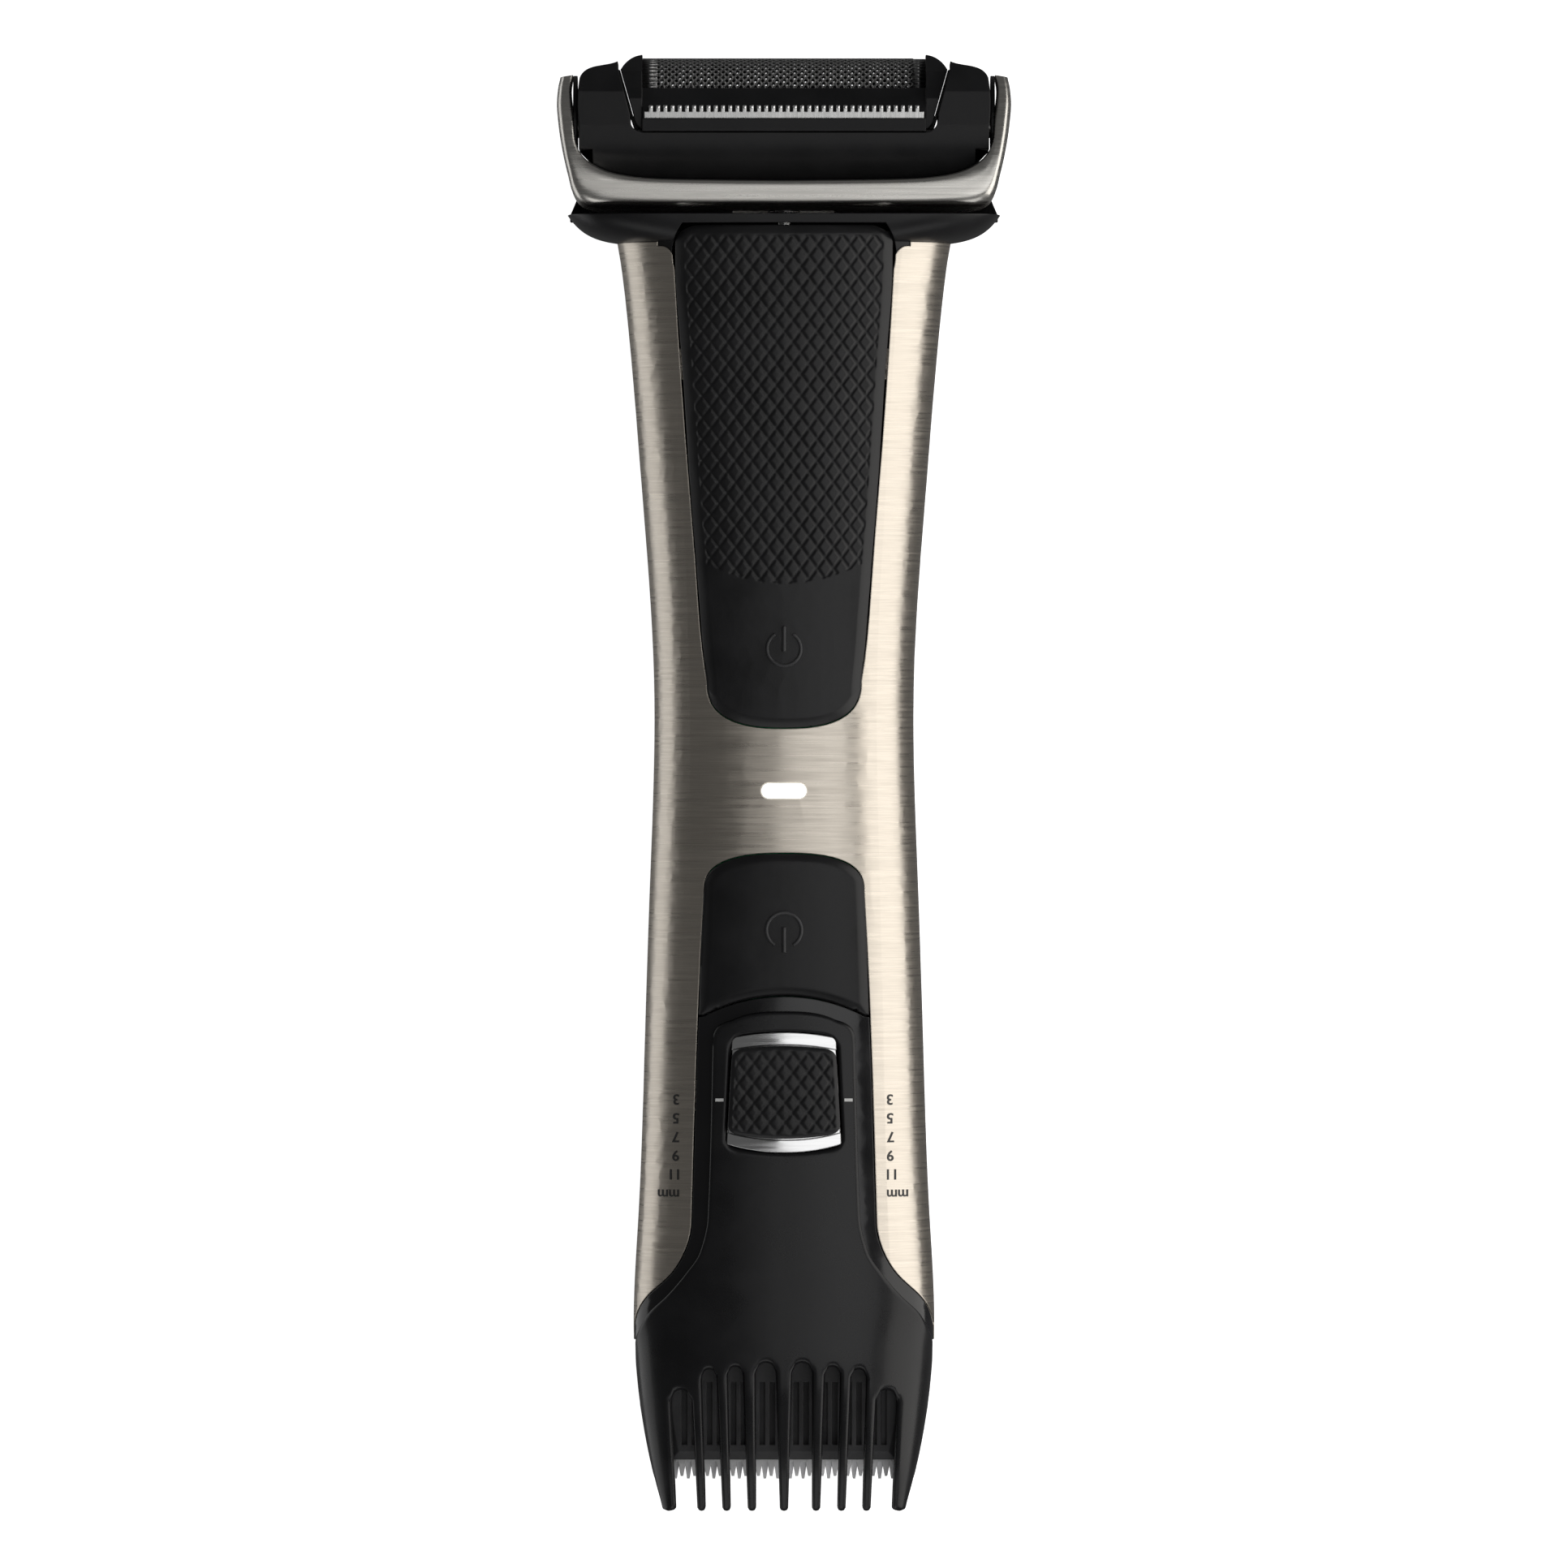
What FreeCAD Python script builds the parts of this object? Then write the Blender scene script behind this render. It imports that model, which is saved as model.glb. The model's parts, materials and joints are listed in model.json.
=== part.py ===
import FreeCAD, Part
import math
import os
import Sketcher
from FreeCAD import Placement, Rotation, Vector

# A double-ended body groomer. It lies on its back: +Z is the front, +Y runs to the foil
# shaver head, -Y to the trimmer and its length comb, and X runs across. The origin is on
# the resting face, half way along.

document = FreeCAD.newDocument("body_groomer")
sheet = document.addObject("Spreadsheet::Sheet", "dims")

DRIVING = {
    # handle: half width, front height and back height at each station along Y
    "crown_y": 84.0, "crown_half": 25.6, "crown_front": 32.8, "crown_back": 2.6,
    "neck_y": 72.0, "neck_half": 23.45, "neck_front": 32.4, "neck_back": 1.0,
    "upper_y": 44.0, "upper_half": 21.0, "upper_front": 31.2, "upper_back": -0.7,
    "waist_y": 14.0, "waist_half": 19.15, "waist_front": 29.6, "waist_back": -0.7,
    "middle_y": -14.0, "middle_half": 19.75, "middle_front": 29.0, "middle_back": -0.7,
    "lower_y": -40.0, "lower_half": 20.6, "lower_front": 28.4, "lower_back": -0.7,
    "flank_y": -64.0, "flank_half": 21.5, "flank_front": 27.4, "flank_back": -0.3,
    "shoulder_y": -82.0, "shoulder_half": 22.15, "shoulder_front": 26.0, "shoulder_back": 3.0,
    "shell_top": 79.8, "wall": 2.0, "split_height": 12.0, "corner_power": 2.7,
    # front panels and buttons
    "panel_proud": 0.8, "panel_inside": 1.5, "panel_gap": 0.18,
    "panel_bottom": 8.3, "panel_top": 82.2,
    "button_top": -10.3, "bezel_proud": 0.3, "seam_y": -31.1,
    "light_y": -1.0, "light_length": 6.6, "light_width": 2.2,
    # head
    "axis_height": 17.5, "pivot_y": 76.0, "tilt_y": 97.0, "tilt_radius": 11.0,
    "yoke_back": 5.0, "yoke_front": 31.0, "pivot_pin": 1.5, "running_gap": 0.05,
    "foil_y": 101.5, "foil_radius": 5.6, "foil_half": 20.7, "foil_wall": 0.25,
    "cutter_half": 19.2, "cutter_radius": 5.15, "guard_pitch": 1.06, "guard_count": 38,
    "eccentric_offset": 1.0,
    # trimmer and comb
    "trimmer_height": 14.5, "blade_half": 17.0, "tooth_pitch": 1.885, "tooth_count": 18,
    "tooth_root": -99.9, "tooth_tip": -102.7, "blade_thick": 0.7,
    "comb_tip": -107.6, "comb_start": -82.1, "comb_step": 2.76, "comb_steps": 4,
    "stem_top": -33.5, "stem_low": 0.45, "stem_high": 1.6,
    # inside
    "motor_radius": 8.0, "motor_y": 44.0, "motor_length": 25.0,
    "small_motor_radius": 6.5, "small_motor_y": -70.0, "small_motor_length": 25.0,
    "shaft_radius": 1.0, "battery_radius": 7.1, "battery_length": 50.0, "battery_height": 12.0,
    "board_half": 11.0, "board_low": -32.0, "board_high": 40.0, "board_level": 20.6,
    "board_thick": 1.2, "socket_y": -74.0, "socket_radius": 2.5, "socket_depth": 5.5,
    "screw_radius": 1.1, "screw_x": 14.6, "screw_low": -46.0, "screw_high": 62.0,
}
for row, (alias, value) in enumerate(DRIVING.items(), 1):
    sheet.set("A%d" % row, alias)
    sheet.set("B%d" % row, str(value))
    sheet.setAlias("B%d" % row, alias)
document.recompute()

STATIONS = ("shoulder", "flank", "lower", "middle", "waist", "upper", "neck", "crown")
nodes = {}


def size(alias):
    return float(sheet.get(alias))


# ---------------------------------------------------------------- shared helpers

def bind(item, expressions):
    for path, text in expressions.items():
        item.setExpression(path, str(text))


def box(name, corner, extent):
    """Box from its low corner and its extent, each three expressions of the sheet."""
    item = document.addObject("Part::Box", name)
    bind(item, dict(zip(("Length", "Width", "Height"), extent)))
    bind(item, dict(zip(("Placement.Base.x", "Placement.Base.y", "Placement.Base.z"), corner)))
    return item


TURNS = {"x": Rotation(Vector(0, 1, 0), 90), "y": Rotation(Vector(1, 0, 0), -90), "z": Rotation()}


def rod(name, start, axis, radius, length):
    """Cylinder from the centre of its first end, along +x, +y or +z."""
    item = document.addObject("Part::Cylinder", name)
    item.Placement = Placement(Vector(), TURNS[axis])
    bind(item, {"Radius": radius, "Height": length})
    bind(item, dict(zip(("Placement.Base.x", "Placement.Base.y", "Placement.Base.z"), start)))
    return item


def fuse(name, *items):
    item = document.addObject("Part::MultiFuse", name)
    item.Shapes = list(items)
    return item


def cut(name, base, *tools):
    item = document.addObject("Part::Cut", name)
    item.Base = base
    item.Tool = tools[0] if len(tools) == 1 else fuse(name + "_tools", *tools)
    return item


def common(name, *items):
    item = document.addObject("Part::MultiCommon", name)
    item.Shapes = list(items)
    return item


def group(name, *items):
    item = document.addObject("Part::Compound", name)
    item.Links = list(items)
    return item


def node(name, item):
    item.Label = name
    nodes[name] = item
    return item


def ring(half_width, low, high, y, corner=None):
    """Rounded cross-section across the handle at one place along Y. A larger corner is squarer."""
    power = 2.0 / (corner or size("corner_power"))
    middle, half_height = (high + low) / 2.0, (high - low) / 2.0
    points = []
    for step in range(32):
        turn = 2.0 * math.pi * (step + 4.5) / 32
        across, up = math.cos(turn), math.sin(turn)
        points.append(Vector(math.copysign(abs(across) ** power, across) * half_width, y,
                             middle + math.copysign(abs(up) ** power, up) * half_height))
    curve = Part.BSplineCurve()
    curve.interpolate(Points=points, PeriodicFlag=True)
    first, last = curve.FirstParameter, curve.LastParameter
    quarters = [first + (last - first) * number / 4.0 for number in range(5)]
    return Part.Wire([curve.toShape(start, end) for start, end in zip(quarters, quarters[1:])])


def loft(name, rings):
    sections = []
    for number, wire in enumerate(rings):
        section = document.addObject("Part::Feature", "%s_ring_%d" % (name, number))
        section.Shape = wire
        sections.append(section)
    item = document.addObject("Part::Loft", name)
    item.Sections = sections
    item.Solid = True
    return item


def handle_form(name, grow):
    """Smooth outer form of the handle, grown outward by a distance or shrunk by a negative one."""
    rings = []
    for station in STATIONS:
        half, front, back, y = (size(station + key) for key in ("_half", "_front", "_back", "_y"))
        rings.append(ring(half + grow, back - grow, front + grow, y))
    return loft(name, rings)


def chain(runs):
    """Edges through runs of points: two points make a line, more make a smooth curve."""
    edges = []
    for run in runs:
        points = [Vector(*point) for point in run]
        if len(points) == 2:
            edges.append(Part.LineSegment(*points).toShape())
        else:
            curve = Part.BSplineCurve()
            curve.interpolate(Points=points)
            edges.append(curve.toShape())
    return edges


def mirrored(right_runs, low):
    """Closed outline, symmetric about X = 0, at height low. The runs go up its right side."""
    right = [[(x, y, low) for x, y in run] for run in right_runs]
    left = [[(-x, y, z) for x, y, z in reversed(run)] for run in reversed(right)]
    runs = right
    if right[-1][-1][0] > 0:
        runs = runs + [[right[-1][-1], left[0][0]]]
    runs = runs + left
    if right[0][0][0] > 0:
        runs = runs + [[left[-1][-1], right[0][0]]]
    return Part.Wire(chain(runs))


def prism(name, right_runs, low=-1.0, high=40.0):
    """Symmetric outline in X and Y, extruded along Z."""
    outline = document.addObject("Part::Feature", name + "_outline")
    outline.Shape = mirrored(right_runs, low)
    item = document.addObject("Part::Extrusion", name)
    item.Base = outline
    item.DirMode = "Custom"
    item.Dir = Vector(0, 0, 1)
    item.LengthFwd = high - low
    item.Solid = True
    return item


def profile(name, points, half_length):
    """Polygon in Y and Z, extruded along X to both sides."""
    outline = document.addObject("Part::Feature", name + "_outline")
    outline.Shape = Part.makePolygon([Vector(-half_length, y, z) for y, z in points + points[:1]])
    item = document.addObject("Part::Extrusion", name)
    item.Base = outline
    item.DirMode = "Custom"
    item.Dir = Vector(1, 0, 0)
    item.LengthFwd = 2.0 * half_length
    item.Solid = True
    return item


def rounded_end(half_width, y_end, depth, power=2.6, toward=1.0):
    """Right half of a rounded end, from its middle out to where the straight side starts."""
    points = []
    for step in range(9):
        turn = math.pi / 2.0 * step / 8.0
        points.append((half_width * math.sin(turn) ** (2.0 / power),
                       y_end + toward * depth * (1.0 - math.cos(turn) ** (2.0 / power))))
    return points


# ---------------------------------------------------------------- sketch helpers

def origin_item(body, role):
    return [item for item in body.Origin.OriginFeatures if item.Role == role][0]


def sketch(body, name, role, offset):
    item = body.newObject("Sketcher::SketchObject", name)
    item.AttachmentSupport = [(origin_item(body, role), "")]
    item.MapMode = "FlatFace"
    item.setExpression("AttachmentOffset.Base.z", str(offset))
    return item


def sketch_box(item, low, high):
    """Rectangle whose two corners are bound to the sheet."""
    first = item.GeometryCount
    corners = [(0, 0), (1, 0), (1, 1), (0, 1)]
    for start, end in zip(corners, corners[1:] + corners[:1]):
        item.addGeometry(Part.LineSegment(Vector(*start, 0), Vector(*end, 0)), False)
    for number, kind in enumerate(("Horizontal", "Vertical", "Horizontal", "Vertical")):
        item.addConstraint(Sketcher.Constraint("Coincident", first + number, 2, first + (number + 1) % 4, 1))
        item.addConstraint(Sketcher.Constraint(kind, first + number))
    pin_point(item, first, low)
    pin_point(item, first + 2, high)


def pin_point(item, line, place):
    """Bind the start point of a line to two expressions of the sheet."""
    for kind, text in zip(("DistanceX", "DistanceY"), place):
        number = item.addConstraint(Sketcher.Constraint(kind, -1, 1, line, 1, 0.5))
        item.setExpression("Constraints[%d]" % number, text)


def sketch_polygon(item, places):
    """Closed polygon whose corners are bound to the sheet."""
    first = item.GeometryCount
    count = len(places)
    for number in range(count):
        turn, after = 2 * math.pi * number / count, 2 * math.pi * (number + 1) / count
        item.addGeometry(Part.LineSegment(Vector(math.cos(turn), math.sin(turn), 0),
                                          Vector(math.cos(after), math.sin(after), 0)), False)
    for number, place in enumerate(places):
        after = first + (number + 1) % count
        item.addConstraint(Sketcher.Constraint("Coincident", first + number, 2, after, 1))
        pin_point(item, first + number, place)


def sketch_circle(item, centre, radius):
    number = item.addGeometry(Part.Circle(Vector(0, 0, 0), Vector(0, 0, 1), 1.0), False)
    for kind, text in zip(("DistanceX", "DistanceY"), centre):
        constraint = item.addConstraint(Sketcher.Constraint(kind, -1, 1, number, 3, 0.5))
        item.setExpression("Constraints[%d]" % constraint, text)
    constraint = item.addConstraint(Sketcher.Constraint("Radius", number, 1.0))
    item.setExpression("Constraints[%d]" % constraint, radius)


def pad(body, name, profile_sketch, length, midplane=False):
    document.recompute()
    item = body.newObject("PartDesign::Pad", name)
    item.Profile = profile_sketch
    item.Midplane = midplane
    item.setExpression("Length", length)
    return item


def pocket(body, name, profile_sketch, length):
    """Pocket that cuts upward from its sketch plane."""
    document.recompute()
    before = body.Shape.Volume
    item = body.newObject("PartDesign::Pocket", name)
    item.Profile = profile_sketch
    item.Reversed = True
    item.setExpression("Length", length)
    document.recompute()
    if body.Shape.Volume > before - 1e-6:
        raise RuntimeError(name + " cut nothing")
    return item


def row_of(body, name, feature, count, pitch):
    """Repeat a feature along X."""
    document.recompute()
    item = body.newObject("PartDesign::LinearPattern", name)
    item.Originals = [feature]
    item.Direction = (origin_item(body, "X_Axis"), [""])
    item.setExpression("Length", "%s*(%s-1)" % (pitch, count))
    item.setExpression("Occurrences", count)
    body.Tip = item
    document.recompute()
    return item


def new_body(name):
    return document.addObject("PartDesign::Body", name + "_body")


# ---------------------------------------------------------------- outlines of the front

def upper_panel(name, grow, low=23.0, high=40.0):
    """Long panel of the shaver button."""
    end = rounded_end(11.2 + grow, size("panel_bottom") - grow, 7.0)
    side = [end[-1], (11.9 + grow, 20.0), (12.85 + grow, 32.0), (13.8 + grow, 44.0), (15.95 + grow, 75.7)]
    top = size("panel_top") + grow
    shoulder = [side[-1], (16.0 + grow, 79.6), (14.6 + grow, top)]
    return prism(name, [end, side, shoulder], low, high)


def neck_notch(name, grow):
    """Black corner piece beside the top of the long panel, let into the metal shell."""
    corner = [(15.6 + grow, 75.4), (16.2 + grow, 77.4), (17.0 + grow, 78.7), (18.6 + grow, 79.15 - grow)]
    return prism(name, [corner, [corner[-1], (18.6 + grow, 81.0)]], 22.0, 40.0)


def lower_window(name, grow):
    """Opening of the metal shell round the trimmer button and the bezel, flaring to the shoulder."""
    end = rounded_end(11.6, size("button_top") + grow, -5.5)
    end = [(x + grow * min(1.0, x / 11.6), y) for x, y in end]
    side = [end[-1], (12.5 + grow, -33.4), (13.3 + grow, -58.0), (13.5 + grow, -65.0)]
    flare = [side[-1], (14.7 + grow, -69.3), (16.8 + grow, -72.5), (19.5 + grow, -75.0), (21.8 + grow, -79.0)]
    foot = [flare[-1], (23.2, -83.5)]
    return prism(name, [foot[::-1], flare[::-1], side[::-1], end[::-1]], 16.0, 36.0)


def seam_arch(name, shift):
    """Everything on the head side of the seam between the trimmer button and the bezel."""
    seam = size("seam_y") + shift
    arch = [(0.0, seam), (6.0, seam - 0.7), (11.8, seam - 2.9)]
    return prism(name, [arch, [arch[-1], (14.0, seam - 3.1)], [(14.0, seam - 3.1), (14.0, 0.0)]])


def comb_stem(name):
    """Stem of the comb, flaring into its shoulders."""
    end = rounded_end(10.5, size("stem_top"), -5.0)
    side = [end[-1], (11.3, -64.0)]
    flare = [side[-1], (12.3, -69.0), (14.8, -72.4), (17.3, -75.3), (20.3, -78.2), (22.1, -82.0)]
    return prism(name, [flare[::-1], side[::-1], end[::-1]])


def pad_outline(name, grow, top=-38.6, bottom=-52.0):
    """Lock pad of the comb: a little wider at its lower end, with bowed ends."""
    foot = [(0.0, bottom - 1.2 - grow), (4.5, bottom - 0.9 - grow), (8.4 + grow, bottom - grow)]
    head = [(7.6 + grow, top + grow), (4.0, top + 0.6 + grow), (0.0, top + 0.8 + grow)]
    return prism(name, [foot, [foot[-1], head[0]], head])


# ---------------------------------------------------------------- shells and panels

def full_box(name, low_y, high_y, low_z=0.0, high_z=40.0):
    return box(name, (-40, low_y, low_z), (80, "%s-(%s)" % (high_y, low_y), "%s-(%s)" % (high_z, low_z)))


def light_slot(name, grow):
    """Slot of the status light, with round ends."""
    reach, radius = "dims.light_length/2-dims.light_width/2", "dims.light_width/2+%s" % grow
    middle = box(name + "_middle", ("-(%s)" % reach, "dims.light_y-(%s)" % radius, 20),
                 ("2*(%s)" % reach, "2*(%s)" % radius, 15))
    ends = [rod(name + "_left", ("-(%s)" % reach, "dims.light_y", 20), "z", radius, 15),
            rod(name + "_right", (reach, "dims.light_y", 20), "z", radius, 15)]
    return fuse(name, middle, *ends)


def screw_blocks(name, low, high):
    """Webs that hold the screws, two at each end of the handle."""
    blocks = []
    for place in ("dims.screw_low", "dims.screw_high"):
        for side, start in (("left", "-dims.screw_x-8"), ("right", "dims.screw_x-2.3")):
            label = "%s_%s_%s" % (name, side, place[-4:].strip("_"))
            blocks.append(box(label, (start, place + "-2.3", low), (10.3, 4.6, "%s-(%s)" % (high, low))))
    return common(name, fuse(name + "_blocks", *blocks), handle_form(name + "_bound", -1.0))


def screw_rods(name, radius, low, length):
    rods = []
    for place in ("dims.screw_low", "dims.screw_high"):
        for side, x in (("left", "-dims.screw_x"), ("right", "dims.screw_x")):
            label = "%s_%s_%s" % (name, side, place[-4:].strip("_"))
            rods.append(rod(label, (x, place, low), "z", radius, length))
    return rods


def shells():
    hollow = cut("shell_wall", handle_form("outer_form", 0.0), handle_form("inner_form", -size("wall")))
    front = common("front_half", hollow, full_box("front_region", -82, "dims.shell_top", "dims.split_height"))
    front = fuse("front_bossed", front, screw_blocks("front_webs", "dims.split_height", 21))
    gap = size("panel_gap")
    holes = [upper_panel("upper_hole", gap), lower_window("lower_hole", gap), neck_notch("notch_hole", 0.0),
             light_slot("light_hole", 0.05)]
    pilots = screw_rods("front_pilot", "dims.screw_radius", 10, 9)
    node("front_shell", cut("front_cut", front, *holes, *pilots))

    back = common("back_half", hollow, full_box("back_region", -82, "dims.shell_top", 0, "dims.split_height"))
    back = fuse("back_bossed", back, screw_blocks("back_webs", 2.4, "dims.split_height"))
    back = common("back_trim", back, full_box("back_bound", -82, 80))
    grip_tool = cut("grip_recess", grip_area("grip_recess_area"), handle_form("grip_floor", -1.6))
    socket_hole = rod("socket_hole", (0, "dims.socket_y", -1), "z", "dims.socket_radius+1.53", 8)
    node("back_shell", cut("back_cut", back, grip_tool, socket_hole,
                           *screw_rods("back_pilot", "dims.screw_radius", -1, 20),
                           *screw_rods("head_pilot", "dims.screw_radius*2+0.1", -3, 7)))

    grip = common("grip_skin", handle_form("grip_form", 0.0), grip_area("grip_area"))
    grip = cut("grip_lower", grip, handle_form("grip_inside", -1.6))
    node("back_grip", cut("grip_cut", grip, full_box("grip_base", -90, 90, -10, 0)))

    screws = []
    for shank in screw_rods("shank", "dims.screw_radius", 4.0, 13.5):
        head = rod(shank.Name + "_head", (0, 0, 2.4), "z", "dims.screw_radius*2", 1.6)
        for way in "xy":
            path = "Placement.Base." + way
            head.setExpression(path, "%s.%s" % (shank.Name, path))
        screws.append(fuse(shank.Name + "_screw", shank, head))
    node("shell_screws", group("screw_group", *screws))


def grip_area(name):
    """Where the rubber grip lies in the back."""
    low = rounded_end(12.2, -58.0, 14.0)
    high = rounded_end(13.5, 66.0, -14.0)
    return prism(name, [low, [low[-1], high[-1]], high[::-1]], -4.0, 6.0)


def layer(name, low, high):
    """Layer that follows the handle's form, between two distances from it."""
    return cut(name, handle_form(name + "_top", high), handle_form(name + "_under", low))


def panels():
    above = full_box("above", -90, 90, 20)
    skin = common("panel_skin", layer("panel_layer", -size("panel_inside"), size("panel_proud")), above)
    upper = common("upper_plate", skin, upper_panel("upper_area", 0.0))
    post = rod("shaver_post", (0, 19.9, 25.2), "z", 2.0, 4.0)
    hinge = rod("shaver_hinge", (-7, 78, 30.6), "x", 0.7, 14)
    node("shaver_button", fuse("upper_fused", upper, post, hinge))

    lower = common("lower_plate", skin, lower_window("lower_area", 0.0), seam_arch("seam_area", 0.0))
    post = rod("trimmer_post", (0, -21.5, 25.2), "z", 2.0, 3.0)
    node("trimmer_button", fuse("lower_fused", lower, post))

    area = common("bezel_window", box("bezel_bound", (-22.1, -82, 15), (44.2, 82, 25)),
                  lower_window("bezel_area", 0.0))
    bezel = common("bezel_skin", layer("bezel_layer", -size("wall"), size("bezel_proud")), area)
    slot = box("carriage_slot", (-3.2, -74.4, 15), (6.4, 17.6, 20))
    node("lower_bezel", cut("bezel_cut", bezel, seam_arch("bezel_seam", -0.25), slot))

    core = common("lens_core", light_slot("lens_slot", 0.0), full_box("lens_above", -90, 90, 23.4))
    node("status_lens", common("lens", core, handle_form("lens_form", 0.25)))


# ---------------------------------------------------------------- neck, yoke and head housing

def neck_collar():
    outer = loft("collar_outer", [ring(24.4, 2.4, 32.4, 79.8), ring(28.4, 2.2, 32.6, 80.8, 3.2),
                                  ring(30.4, 2.0, 32.9, 82.2, 4.0), ring(31.8, 1.8, 33.1, 83.9, 4.6)])
    hollow = loft("collar_hollow", [ring(26.8, 3.7, 31.5, 81.3, 3.6), ring(29.6, 3.4, 31.7, 82.4, 4.2),
                                    ring(31.0, 3.1, 31.9, 84.4, 4.8)])
    passage = box("collar_passage", (-8.5, 79, 6.5), (17, 4, 22))
    notch = cut("collar_notch", upper_panel("notch_area", 0.35), handle_form("notch_floor", -1.9))
    corners = common("collar_corners", layer("corner_layer", -1.7, -0.15), neck_notch("corner_area", -0.04),
                     full_box("corner_bound", 70, 80.2))
    corners = cut("corner_trim", corners, upper_panel("corner_gap", 0.3))
    node("neck_collar", fuse("collar_fused", cut("collar_cut", outer, hollow, passage, notch), corners))

    frame = box("neck_block", (-10.5, 69, 5.7), (21, 10.6, 23.6))
    room = box("neck_room", (-9, 71, 7.2), (18, 10, 20.6))
    bore = rod("neck_bore", (0, 60, "dims.axis_height"), "y", 3.1, 12)
    pins = rod("neck_pin_bore", (0, "dims.pivot_y", 0), "z", "dims.pivot_pin", 40)
    node("neck_frame", cut("neck_cut", frame, room, bore, pins))

    pins = [rod("pin_front", (0, "dims.pivot_y", 24.2), "z", "dims.pivot_pin", 5.1),
            rod("pin_back", (0, "dims.pivot_y", 5.7), "z", "dims.pivot_pin", 5.1)]
    node("yoke_pivot_pins", group("pin_group", *pins))


YOKE_OUTSIDE = [[(0, 84.4), (24.0, 84.45)], [(24.0, 84.45), (28.0, 84.5), (30.2, 85.2), (31.3, 87.2)],
                [(31.3, 87.2), (32.6, 92.5), (33.3, 97.0), (33.5, 100.0)],
                [(33.5, 100.0), (33.3, 102.4), (32.9, 104.4), (32.2, 104.9), (30.9, 105.0)]]
YOKE_INSIDE = [[(0, 88.8), (10.4, 88.9), (19.1, 89.1), (23.7, 89.6), (27.0, 90.5), (29.6, 92.1),
                (30.8, 94.4)],
               [(30.8, 94.4), (30.9, 97.1), (31.4, 101.9), (30.9, 105.2)]]


def head_yoke():
    u_shape = cut("yoke_u", prism("yoke_outside", YOKE_OUTSIDE, size("yoke_back"), size("yoke_front")),
                  prism("yoke_inside", YOKE_INSIDE + [[(30.9, 105.2), (30.9, 110)]]))
    side_view = profile("yoke_side", [(84, 10.6), (85.0, 9.0), (86.6, 5.2), (92, 5.8), (100, 8.4),
                                      (105.5, 11.4), (105.5, 23.6), (100, 26.8), (92, 30.4), (86.6, 31.0),
                                      (85.0, 27.0), (84, 25.4)], 40)
    u_shape = common("yoke_shaped", u_shape, side_view)
    axis = ("dims.tilt_y", "dims.axis_height")
    bottom = rod("yoke_bed", (-28.6, *axis), "x", "dims.tilt_radius+0.4", 57.2)
    wide = common("yoke_side_bed", rod("yoke_wide_bed", (-30.6, *axis), "x", "dims.tilt_radius+0.75", 61.2),
                  full_box("yoke_bed_bound", 91.2, 120))
    drive = box("yoke_drive_hole", (-7.4, 83, 9.5), (14.8, 4, 16))
    bore = rod("yoke_tilt_bore", (-32.4, *axis), "x", "1.6+dims.running_gap", 64.8)
    ears = [box("ear_front", (-4, 72.4, 24.4), (8, 13.2, 2.4)),
            box("ear_back", (-4, 72.4, 8.2), (8, 13.2, 2.4))]
    pivot = rod("ear_bore", (0, "dims.pivot_y", 0), "z", "dims.pivot_pin+dims.running_gap", 40)
    crossbars = [box("crossbar_front", (-8, 83.4, 24.0), (16, 2.2, 2.0)),
                 box("crossbar_back", (-8, 83.4, 9.4), (16, 2.2, 2.0))]
    solid = fuse("yoke_eared", u_shape, *ears, *crossbars)
    node("head_yoke", cut("yoke_hollow", solid, bottom, wide, drive, bore, pivot))


HOUSING_SIDE = [[(30.2, 97.0), (30.4, 100.5), (30.1, 104.0)],
                [(30.1, 104.0), (29.3, 105.1), (27.5, 105.8), (24.5, 106.5)]]
POCKET_SIDE = [[(0, 95.9), (20.4, 95.9)], [(20.4, 95.9), (21.9, 96.3), (22.7, 98.6)],
               [(22.7, 98.6), (24.5, 105.5)], [(24.5, 105.5), (24.5, 110)]]


def head_housing():
    axis = ("dims.tilt_y", "dims.axis_height")
    lower = common("housing_lower", rod("housing_round", (-28.2, *axis), "x", "dims.tilt_radius", 56.4),
                   full_box("lower_bound", 80, 98))
    shoulder = common("housing_shoulder", rod("housing_wide", (-30.2, *axis), "x", "dims.tilt_radius", 60.4),
                      full_box("shoulder_bound", 93.5, 98))
    upper = prism("housing_block", [[(0, 97.0), (30.2, 97.0)]] + HOUSING_SIDE, 6.5, 28.5)
    side_view = profile("housing_side", [(85, 6.5), (97, 6.5), (102, 7.2), (107, 9.5), (107, 25.5),
                                         (102, 27.8), (97, 28.5), (85, 28.5)], 40)
    shape = common("housing_shaped", fuse("housing_solid", lower, shoulder, upper), side_view)
    mouth = prism("housing_mouth", POCKET_SIDE)
    well = box("housing_well", (-22.9, 93.4, 8.0), (45.8, 3, 19))
    drive = box("housing_drive", (-7.6, 84, 10.3), (15.2, 12, 14.4))
    pins = rod("housing_pin_bore", (-40, *axis), "x", 1.62, 80)
    node("head_housing", cut("housing_cut", shape, mouth, well, drive, pins))
    pins = [rod("tilt_pin_left", (-32.3, *axis), "x", 1.6, 6.6),
            rod("tilt_pin_right", (25.7, *axis), "x", 1.6, 6.6)]
    node("tilt_pins", group("tilt_group", *pins))


# ---------------------------------------------------------------- foil cartridge

def mirrored_profile(name, front, half_length):
    """Profile that is the same in front of and behind the head's axis."""
    middle = size("axis_height")
    points = [(y, middle + z) for y, z in front] + [(y, middle - z) for y, z in reversed(front)]
    return profile(name, points, half_length)


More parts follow.
